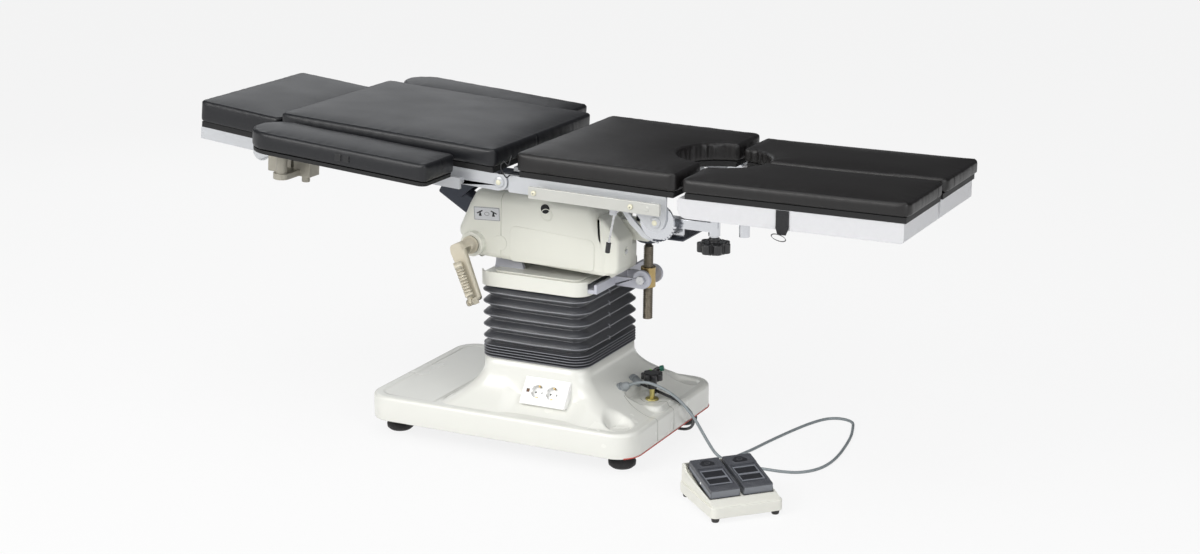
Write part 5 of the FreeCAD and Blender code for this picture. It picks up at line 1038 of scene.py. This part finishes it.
def make_foot_switch():
    """Moulded switch body with two wells, and two framed pedals with embossed shapes."""
    plinth = prism(plan_box(-108, 108, -96, 96, 15, 7), 12, 39.5)
    profile = rounded([(103, 36, 1), (103, 41, 3), (78, 48.5, 6), (70, 50.5, 4), (-66, 70, 6), (-80, 76, 6),
                       (-84, 89, 6),
                       (-101, 89, 9), (-104, 36, 1)], 5)
    upright = Matrix(((1, 0, 0, 0), (0, 0, 1, 0), (0, 1, 0, 0), (0, 0, 0, 1)))
    upper = moved(prism(profile, -91, 91), upright)
    wells = [block(-88, 71, 3.5, 85.5, 27, 110), block(-88, 71, -85.5, -3.5, 27, 110)]
    shell = carved(upper, wells)
    body = piece("switch_body", joined([plinth, shell]), "base", "SWITCH", AT_SWITCH, 2.0,
                 slot="switch_cream")
    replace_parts(body, "foot_switch_housing")
    # Dark sheets on the floor of both wells under the pedals: painted shade.
    well_shade_sheets = [block(-87.8, 70.8, 3.7, 85.3, 26, 28.5), block(-87.8, 70.8, -85.3, -3.7, 26, 28.5)]
    piece("switch_well_shade", joined(well_shade_sheets), "base", "SHADE", AT_SWITCH, slot="switch_cream")
    studs = []
    for x in (-92, 92):
        for y in (-80, 80):
            studs.append(moved(lathe([(0.5, 0), (8.5, 0), (9.5, 2), (11, 12.2), (0.5, 12.2)], 24),
                               Matrix.Translation((x, y, 0))))
    piece("switch_feet", joined(studs), "base", "RUBBER", AT_SWITCH, slot="black_rubber")
    boot = facing((-107, 22.5, 24.8), (-1, 0, 0))
    piece("switch_boot", moved(lathe([(4.1, -1), (9, -1), (9, 2), (7.5, 4), (6.4, 14), (5.2, 20),
                                      (4.1, 20)]), boot), "base",
          "CABLE", AT_SWITCH, slot="cable_grey")
    for word, side in (("left", -1), ("right", 1)):
        make_pedal(word, side)


def make_pedal(word, side):
    """One pedal, drawn lying flat with its front edge at zero and turned to its rest slope."""
    place = AT_SWITCH @ Matrix.Translation((67, side * 44, 49)) @ Matrix.Rotation(math.radians(11.2), 4, "Y")
    base = carved(prism(plan_box(-147, 0, -39, 39, 2.5, 3), 0, 22), [
        block(-101, -6, -33, 33, 19.4, 30)])
    back = prism(rounded([(-104, -39, 1), (-104, 39, 1), (-147, 39, 4), (-147, -39, 4)], 3), 20, 25)
    front = prism(rounded([(0, -39, 4), (0, 39, 4), (-22, 39, 1), (-22, -39, 1)], 3), 20, 22.6)
    rims = [block(-106, -20, -39, -33.5, 20, 23.6), block(-106, -20, 33.5, 39, 20, 23.6)]
    body = piece("pedal_body_" + word, joined([base, back, front] + rims), word + "_pedal", "PEDAL", place,
                 1.0, slot="pedal_grey")
    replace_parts(body, "pedal_" + word)
    skirt = [block(-140, 0.25, -39.3, -38.9, 1, 13), block(-140, 0.25, 38.9, 39.3, 1, 13),
             block(0, 0.4, -38, 38, 1, 20)]
    piece("pedal_side_" + word, joined(skirt), word + "_pedal", "PEDAL_LIGHT", place, 0.15, slot="pedal_grey")
    fields = [block(-93, -66, -27, 27, 19.3, 20.2), block(-58, -36, -27, 27, 19.3, 20.2)]
    house = [(-112, -16), (-112, 16), (-124, 20), (-136, 9), (-138, 0), (-136, -9), (-124, -20)]
    fields.append(prism(house, 24.4, 25.3))
    piece("pedal_fields_" + word, joined(fields), word + "_pedal", "PEDAL_DARK", place, 0.3,
          slot="pedal_grey")
    bars = [block(-97, -93, -31, 31, 19.3, 21.6), block(-65, -59, -31, 31, 19.3, 21.6),
            block(-35, -31, -31, 31, 19.3, 21.2),
            block(-96, -32, -31, -28, 19.3, 21.4), block(-96, -32, 28, 31, 19.3, 21.4)]
    piece("pedal_bars_" + word, joined(bars), word + "_pedal", "PEDAL_LIGHT", place, 0.5, slot="pedal_grey")
    rise = []
    outline = [(-109, -20), (-109, 20), (-123, 25), (-139, 12), (-142, 0), (-139, -12), (-123, -25)]
    rise.append(tube([(x, y, 25.1) for x, y in outline], 0.9, 6, True))
    rise.append(tube([(x, y, 25.4) for x, y in oval(-124, 0, 5, 7, 20)], 0.7, 6, True))
    front_mark = [(-5, -14), (-5, 14), (-16, 24), (-26, 20), (-26, -20), (-16, -24)]
    rise.append(tube([(x, y, 22.7) for x, y in front_mark], 0.8, 6, True))
    rise.append(tube([(x, y, 22.7) for x, y in plan_box(-20, -11, -12, 12, 3, 3)], 0.6, 6, True))
    piece("pedal_lines_" + word, joined(rise), word + "_pedal", "PEDAL", place, slot="pedal_grey")
    pins = [moved(lathe([(0.3, 0), (3.4, 0), (3.0, 1.2), (0.3, 1.6)], 20),
                  facing((-66, face * 39, 7), (0, face, 0)))
            for face in (-1, 1)]
    piece("pedal_pins_" + word, joined(pins), word + "_pedal", "OUTLET", place, slot="switch_cream")
    springs = [moved(lathe([(0.3, -9), (2.6, -9), (2.6, 0), (0.3, 0)], 16), Matrix.Translation((-12, y, 1)))
               for y in (-12, 12)]
    piece("pedal_stops_" + word, joined(springs), word + "_pedal", "BOLT", place, slot="switch_cream")


def make_straps():
    """Webbing loop on the near leg, the thin loop at the back hinge and the tabs of the near armboard."""
    x = STRAP_X + STRAP_WIDTH / 2
    half = STRAP_WIDTH / 2
    y = PLATE_Y + 0.4
    rows = []
    for k in range(16):
        z = PLATE_TOP - 1 - 60 * k / 15
        narrow = half - 6 * max(0.0, (k - 11) / 4)
        wave = 0.5 * math.sin(k * 0.8)
        v = y + 0.5 + wave * (k > 3) * 0.5 + 0.6 * max(0, k - 10)
        rows.append([(x - narrow, v, z), (x - narrow, v + 1.6, z), (x, v + 2.0 + wave * 0.4, z),
                     (x + narrow, v + 1.6, z),
                     (x + narrow, v, z)])
    band = skin(rows, True, True)
    rows = []
    for k in range(30):
        a = 2 * math.pi * k / 30
        spoke = Vector((math.cos(a), 0, math.sin(a)))
        centre = Vector((x - 7, y + 6, 697)) + Vector((18 * math.cos(a), 0,
                                                       7 * math.sin(a) - 3.5 * math.cos(a)))
        across = Vector((0.25, 0.9, 0.35)).normalized() * 6
        rows.append([tuple(centre - across), tuple(centre + across), tuple(centre + across + spoke * 1.4),
                     tuple(centre - across + spoke * 1.4)])
    ring = skin(rows + [rows[0]])
    band = joined([band, ring])
    strap = piece("leg_webbing", band, "leg_near", "WEBBING", AT_NEAR_LEG, 0.3, slot="strap_black")
    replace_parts(strap, "leg_strap")
    stitch = [block(x - half + 3, x + half - 3, y + 2.0, y + 2.7, z, z + 0.8) for z in (722, 726, 752, 756)]
    piece("webbing_stitches", joined(stitch), "leg_near", "THREAD", AT_NEAR_LEG, slot="strap_black")
    top = -TOP_HALF
    spots = curve_through([(-44, top + 11.7, 767), (-46, top - 4, 764), (-52, top - 9, 774),
                           (-60, top - 9, 792),
                           (-50, top - 10, 806), (-38, top - 10, 798), (-34, top - 6, 812),
                           (-33, top - 1, 822)], 60)
    loop = piece("static_loop", tube(spots, 1.7, 10), "seat", "LEAD", AT_SEAT, slot="cable_black")
    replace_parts(loop, "antistatic_cord")
    tabs = []
    for start in (-452, -428):
        tabs.append(moved(block(0, 17, -1.4, 0.4, -9, 9),
                          Matrix.Translation((start, ARM_Y + ARM_HALF + 0.2, 792))))
    piece("arm_tabs", joined(tabs), "arm_near", "WEBBING", MIRROR @ AT_ARM, 0.8, slot="strap_black")


def arc_points(x, y, radius, start, end, steps):
    return [(x + radius * math.cos(math.radians(start + (end - start) * k / steps)),
             y + radius * math.sin(math.radians(start + (end - start) * k / steps))) for k in range(steps + 1)]


def make_cushions():
    half = TOP_HALF
    c = PAD_CORNER
    reach = math.degrees(math.acos((425.0 - CUTOUT_X) / CUTOUT_RADIUS))
    seat = rounded([(425, half, c), (-30, half, c), (-30, -half, c), (425, -half, c)])
    cut = arc_points(CUTOUT_X, 0, CUTOUT_RADIUS, -reach, -360 + reach, 40)
    cushion("seat_cushion", "seat_pad", "seat", seat + cut, PAD_BOTTOM, PAD_TOP, AT_SEAT, "WARM_LEATHER",
            (300.0, 1010.0), (CUTOUT_X, 0, CUTOUT_RADIUS), 2)
    # Back, head and arm pads use the leather with the painted cool sheen.
    back = rounded([(-748, -half, c), (-84, -half, c), (-84, half, c), (-748, half, c)])
    cushion("back_cushion", "back_pad", "back", back, PAD_BOTTOM, BACK_PAD_TOP, AT_BACK, "LEATHER",
            (900.0, 2100.0), None, 3)
    head = rounded([(-1035, -HEAD_HALF, c), (-767, -HEAD_HALF, c), (-767, HEAD_HALF, c),
                    (-1035, HEAD_HALF, c)])
    cushion("head_cushion", "head_pad", "head", head, HEAD_HINGE_Z + 46, HEAD_HINGE_Z + 112, AT_HEAD,
            "LEATHER", (1280.0,), None, 4)
    for word, side, mark in (("near", -1, 5), ("far", 1, 6)):
        y = side * ARM_Y
        end = ARM_X + ARM_REACH
        arm = rounded([(ARM_X, y - ARM_HALF, 0), (end, y - ARM_HALF, 20), (end, y + ARM_HALF, 20),
                       (ARM_X, y + ARM_HALF, 0)])
        arm = arm + arc_points(ARM_X, y, ARM_HALF, 90, 270, 28)[1:-1]
        cushion("arm_cushion_" + word, "armboard_pad_" + word, "arm_" + word, arm,
                ARM_BOARD_BOTTOM + ARM_BOARD + 0.3, ARM_PAD_TOP, AT_ARM, "LEATHER", (560.0,), None, mark)
        inner = arc_points(CUTOUT_X, 0, CUTOUT_RADIUS, 2.2, 89, 24)
        leg = rounded([(433, 120, 0), (433, half, c), (1026, half, c), (1026, 4, c)]) + inner
        place = AT_LEG if side > 0 else AT_NEAR_LEG
        cushion("leg_cushion_" + word, "leg_pad_" + word, "leg_" + word, leg, PAD_BOTTOM, LEG_PAD_TOP, place,
                "WARM_LEATHER", (700.0,), (CUTOUT_X, 0, CUTOUT_RADIUS), mark + 3)


def make_bellows():
    """Pleated sleeve with a piped edge on every fold, its sides sagging between the corners."""
    rings = []
    tips = []
    z = PEDESTAL_TOP
    pitch = (BELLOWS_TOP - PEDESTAL_TOP - SHUT_FOLDS * SHUT_PITCH) / OPEN_FOLDS

    def ring(depth, level, sag):
        cut = 2 * depth
        flat = around(BELLOWS_LENGTH - cut, BELLOWS_WIDTH - cut, BELLOWS_CORNER - depth, COLUMN_X)
        points = []
        for x, y in flat:
            u = abs(x - COLUMN_X) / (BELLOWS_LENGTH / 2)
            v = abs(y) / (BELLOWS_WIDTH / 2)
            middle = max(0.0, 1 - min(u, v) * 1.25)
            wave = noise.noise(Vector((x / 55, y / 55, level / 19)))
            drop = sag * middle + 0.7 * wave * (sag > 0)
            shrink = 1 - 0.006 * middle * (sag > 0)
            points.append((COLUMN_X + (x - COLUMN_X) * shrink, y * shrink, level - drop))
        return points

    for count, step, sag in ((SHUT_FOLDS, SHUT_PITCH, 0.0), (OPEN_FOLDS, pitch, 2.4)):
        for i in range(count):
            for t, depth in ((0.0, 1.0), (0.12, 0.86), (0.25, 0.58), (0.36, 0.3), (0.44, 0.1), (0.5, 0.0),
                             (0.57, 0.1),
                             (0.68, 0.24), (0.8, 0.44), (0.92, 0.76)):
                rings.append(ring(FOLD_DEPTH * depth, z + step * t, sag * (1 - depth)))
            tips.append((ring(0.6, z + step * 0.5, sag), step > 12))
            z += step
    rings.append(ring(FOLD_DEPTH, BELLOWS_TOP - 0.3, 0))
    inside = [[(COLUMN_X + (x - COLUMN_X) * 0.985, y * 0.985, h) for x, y, h in r] for r in reversed(rings)]
    points, faces = skin(rings + inside)
    count = len(rings[0])
    last = (2 * len(rings) - 1) * count
    faces += [(k, last + k, last + (k + 1) % count, (k + 1) % count) for k in range(count)]
    sleeve = piece("bellows_sleeve", (points, faces), "base", "BELLOWS", slot="bellows_grey")
    sleeve.parent = None
    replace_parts(sleeve, "bellows")
    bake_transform(sleeve)
    # Piping tubes on the fold tips; their light grey is partly a painted highlight of the fold edges.
    welts = [tube(path, 1.5 if wide else 1.0, 8, True) for path, wide in tips]
    trim = piece("bellows_piping_highlight", joined(welts), "base", "PIPING", slot="bellows_grey")
    trim.parent = None
    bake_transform(trim)
    ticks = []
    for path, wide in tips:
        if wide:
            spot = min(path, key=lambda p: abs(p[1] + 20) + (0 if p[0] > COLUMN_X else 999))
            ticks.append(moved(block(-4, 0.6, -1.2, 1.2, -7, 7),
                               Matrix.Translation(spot) @ Matrix.Rotation(0.5, 4, "X")))
    seam = piece("bellows_seam", joined(ticks), "base", "PIPING", bevel=0.6, slot="bellows_grey")
    seam.parent = None
    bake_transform(seam)


def swing_place():
    return AT_SEAT @ Vector((NUT_X, 0, SPINDLE_TOP))


def make_spindle():
    """Screw with its thread cut as one helix, over the CAD spindle's own sizes."""
    place = swing_place()
    lean = math.degrees(math.atan2(place.x - NUT_X, place.z - NUT_Z))
    set_in = turn_about(place.x, place.z, lean) @ Matrix.Translation((place.x - NUT_X, 0, 0))
    sides = 28
    lead = 5.0
    rows = int((THREAD_TOP - SPINDLE_END) / (lead / 8))
    rings = [[(NUT_X + 6 * math.cos(2 * math.pi * k / sides), 6 * math.sin(2 * math.pi * k / sides),
               SPINDLE_END)
              for k in range(sides)]]
    for i in range(rows + 1):
        z = SPINDLE_END + 0.5 + (THREAD_TOP - SPINDLE_END - 1) * i / rows
        ring = []
        for k in range(sides):
            a = 2 * math.pi * k / sides
            phase = ((z / lead) - k / sides) % 1.0
            crest = 1.0 if phase < 0.42 else 0.0 if 0.5 < phase < 0.92 else 0.5
            r = SPINDLE_RADIUS - 2.4 * (1 - crest)
            ring.append((NUT_X + r * math.cos(a), r * math.sin(a), z))
        rings.append(ring)
    for r, z in ((9, THREAD_TOP), (9, SPINDLE_TOP - 30)):
        rings.append([(NUT_X + r * math.cos(2 * math.pi * k / sides), r * math.sin(2 * math.pi * k / sides),
                       z)
                      for k in range(sides)])
    made = piece("spindle_thread", skin(rings, True, True), "screw", "SCREW", set_in, slot="spindle_steel")
    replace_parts(made, "spindle")


def make_cords():
    curves = []
    for name, node, points, paint, slot in (
            ("grey_cable", "foot_switch_cable", CABLE_POINTS, "CABLE", "cable_grey"),
            ("black_lead", "mains_lead", LEAD_POINTS, "LEAD", "cable_black")):
        route = list(points)
        if node == "mains_lead":
            route = route[:-1] + coil_points()
        curve = bpy.data.curves.new(name, "CURVE")
        curve.dimensions = "3D"
        curve.bevel_depth = 4.0 * MM
        curve.bevel_resolution = 5
        curve.resolution_u = 6
        curve.use_fill_caps = True
        line = curve.splines.new("NURBS")
        line.points.add(len(route) - 1)
        for spot, (x, y, z) in zip(line.points, route):
            spot.co = (x * MM, y * MM, z * MM, 1)
        line.order_u = 3
        line.use_endpoint_u = True
        curve.materials.append(PAINTS[paint])
        made = bpy.data.objects.new(name, curve)
        bpy.context.scene.collection.objects.link(made)
        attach(made, "base")
        curves.append(made)
    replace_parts(curves[0], "foot_switch_cable")
    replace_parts(curves[1], "mains_lead", "mains_coil")


def coil_points():
    """Turns of the stored lead, lying beside and on each other, then out to the plug."""
    x, y = COIL_PLACE
    rows = ((46.0, 4.2), (38.0, 4.2), (50.0, 11.2), (42.0, 11.2), (34.5, 11.2), (46.0, 18.2), (38.0, 18.2))
    points = []
    start = math.atan2(311.2 - y, -29.3 - x)
    for turn_number, (radius, level) in enumerate(rows):
        following = rows[min(turn_number + 1, len(rows) - 1)]
        for k in range(14):
            t = k / 14
            a = start + 2 * math.pi * (t + turn_number)
            ease = max(0.0, (t - 0.7) / 0.3)
            r = radius + (following[0] - radius) * ease
            z = level + (following[1] - level) * ease
            points.append((x + r * math.cos(a), y + r * math.sin(a), z))
    return points


def make_stage():
    floor = bpy.data.meshes.new("floor")
    size = 40
    floor.from_pydata([(-size, -size, 0), (size, -size, 0), (size, size, 0), (-size, size, 0)], [],
                      [(0, 1, 2, 3)])
    made = bpy.data.objects.new("floor", floor)
    bpy.context.scene.collection.objects.link(made)
    paint = bpy.data.materials.new("floor")
    paint.use_nodes = True
    tree = paint.node_tree
    tree.nodes.clear()
    output = tree.nodes.new("ShaderNodeOutputMaterial")
    matt = tree.nodes.new("ShaderNodeBsdfDiffuse")
    matt.inputs["Color"].default_value = (0.82, 0.82, 0.82, 1)
    glow = tree.nodes.new("ShaderNodeEmission")
    glow.inputs["Color"].default_value = (1, 1, 1, 1)
    rays = tree.nodes.new("ShaderNodeLightPath")
    share = tree.nodes.new("ShaderNodeMath")
    share.operation = "MULTIPLY"
    share.inputs[1].default_value = 0.86
    either = tree.nodes.new("ShaderNodeMath")
    either.operation = "MAXIMUM"
    both = tree.nodes.new("ShaderNodeMixShader")
    tree.links.new(rays.outputs["Is Camera Ray"], either.inputs[0])
    tree.links.new(rays.outputs["Is Glossy Ray"], either.inputs[1])
    tree.links.new(either.outputs["Value"], share.inputs[0])
    tree.links.new(share.outputs["Value"], both.inputs[0])
    tree.links.new(matt.outputs["BSDF"], both.inputs[1])
    tree.links.new(glow.outputs["Emission"], both.inputs[2])
    tree.links.new(both.outputs["Shader"], output.inputs["Surface"])
    floor.materials.append(paint)


def make_light():
    world = bpy.data.worlds.new("studio")
    bpy.context.scene.world = world
    world.use_nodes = True
    tree = world.node_tree
    tree.nodes.clear()
    output = tree.nodes.new("ShaderNodeOutputWorld")
    seen = tree.nodes.new("ShaderNodeBackground")
    seen.inputs["Color"].default_value = (1, 1, 1, 1)
    lit = tree.nodes.new("ShaderNodeBackground")
    lit.inputs["Color"].default_value = (0.97, 0.98, 1.0, 1)
    around_us = tree.nodes.new("ShaderNodeTexCoord")
    axes = tree.nodes.new("ShaderNodeSeparateXYZ")
    strength = tree.nodes.new("ShaderNodeMapRange")
    strength.interpolation_type = "SMOOTHSTEP"
    strength.inputs["From Min"].default_value = -0.7
    strength.inputs["From Max"].default_value = 0.35
    strength.inputs["To Min"].default_value = 0.62
    strength.inputs["To Max"].default_value = 0.12
    tree.links.new(around_us.outputs["Generated"], axes.inputs[0])
    tree.links.new(axes.outputs["Y"], strength.inputs["Value"])
    tree.links.new(strength.outputs["Result"], lit.inputs["Strength"])
    rays = tree.nodes.new("ShaderNodeLightPath")
    both = tree.nodes.new("ShaderNodeMixShader")
    tree.links.new(rays.outputs["Is Camera Ray"], both.inputs[0])
    tree.links.new(lit.outputs["Background"], both.inputs[1])
    tree.links.new(seen.outputs["Background"], both.inputs[2])
    tree.links.new(both.outputs["Shader"], output.inputs["Surface"])
    for name, place, aim, power, size, colour in (
            ("key", (-1.7, -3.6, 3.0), (-0.1, 0, 0.5), 105, 2.4, (1.0, 0.99, 0.97)),
            ("fill", (3.4, -2.2, 1.9), (0.2, 0, 0.5), 46, 2.2, (0.98, 0.99, 1.0)),
            ("back", (-2.6, 2.6, 2.2), (0, 0, 0.7), 16, 2.4, (0.96, 0.98, 1.0)),
            ("top", (0.2, -0.6, 3.6), (0, 0, 0.6), 30, 2.6, (1.0, 1.0, 1.0))):
        data = bpy.data.lights.new(name, "AREA")
        data.energy = power
        data.size = size
        data.color = colour
        lamp = bpy.data.objects.new(name, data)
        bpy.context.scene.collection.objects.link(lamp)
        lamp.location = place
        lamp.rotation_euler = (Vector(aim) - Vector(place)).to_track_quat("-Z", "Y").to_euler()


def make_camera():
    data = bpy.data.cameras.new("camera")
    data.lens = 65.7
    data.sensor_width = 36.0
    data.clip_end = 100.0
    camera = bpy.data.objects.new("camera", data)
    bpy.context.scene.collection.objects.link(camera)
    camera.location = (2.5963, -5.0408, 1.996)
    camera.rotation_euler = (math.radians(74.6), 0, math.radians(26.5))
    bpy.context.scene.camera = camera


FINISHES = {
    "base_chassis": ("CHASSIS", 0.8), "rubber_feet": ("RUBBER", 0.8),
    "socket_box": ("OUTLET", 1.5),
    "lowering_knob": ("KNOB", 2.0), "outer_column": ("TUBE", 0.6), "middle_column": ("TUBE", 0.6),
    "inner_column": ("TUBE", 0.6), "lift_actuator": ("CHASSIS", 0.6), "actuator_rod": ("CHROME", 0.4),
    "column_head": ("LILAC", 1.2), "head_rim": ("RIM", 1.2), "trunnion_bolts": ("BOLT", 0.8),
    "tilt_shaft": ("BOLT", 0.6), "housing_cover": ("HOUSING", 1.4), "crank_cover": ("HOUSING", 1.2),
    "housing_frame": ("HOUSING", 0.8), "drive_shaft": ("TUBE", 0.4), "crank_arm": ("CRANK", 0.0),
    "crank_handle": ("HANDLE", 0.0), "spindle_gearbox": ("DARK", 1.0), "spindle_nut": ("BRASS", 1.0),
    "seat_frame": ("SEAT_FRAME", 0.8), "seat_rails": ("RAIL", 0.8), "hinge_pins": ("PLATE", 0.6),
    "back_drive_unit": ("DARK", 1.2), "release_lever": ("LEVER", 0.5),
    "back_frame": ("BACK_FRAME", 0.8), "head_frame": ("HEAD_FRAME", 0.8), "armboard_clamps": ("CLAMP", 1.0),
    "armboard_near": ("BOARD", 1.0), "armboard_far": ("BOARD", 1.0), "leg_carrier_near": ("CARRIER", 0.8),
    "leg_carrier_far": ("CARRIER", 0.8), "leg_frame_near": ("LEG_FRAME", 0.8),
    "leg_frame_far": ("LEG_FRAME", 0.8),
    "leg_knob_near": ("BLACK", 2.2), "leg_knob_far": ("BLACK", 2.2),
    "mains_plug": ("LEAD", 0.6),
}

for node_name, (paint_name, edge_width) in FINISHES.items():
    dress(node_name, paint_name, edge_width)
make_base_cover()
make_outlets()
make_housing_details()
make_base_fittings()
make_foot_switch()
make_straps()
make_cushions()
make_bellows()
make_spindle()
make_cords()
make_stage()
make_light()
make_camera()
bpy.context.scene.view_settings.view_transform = "Standard"
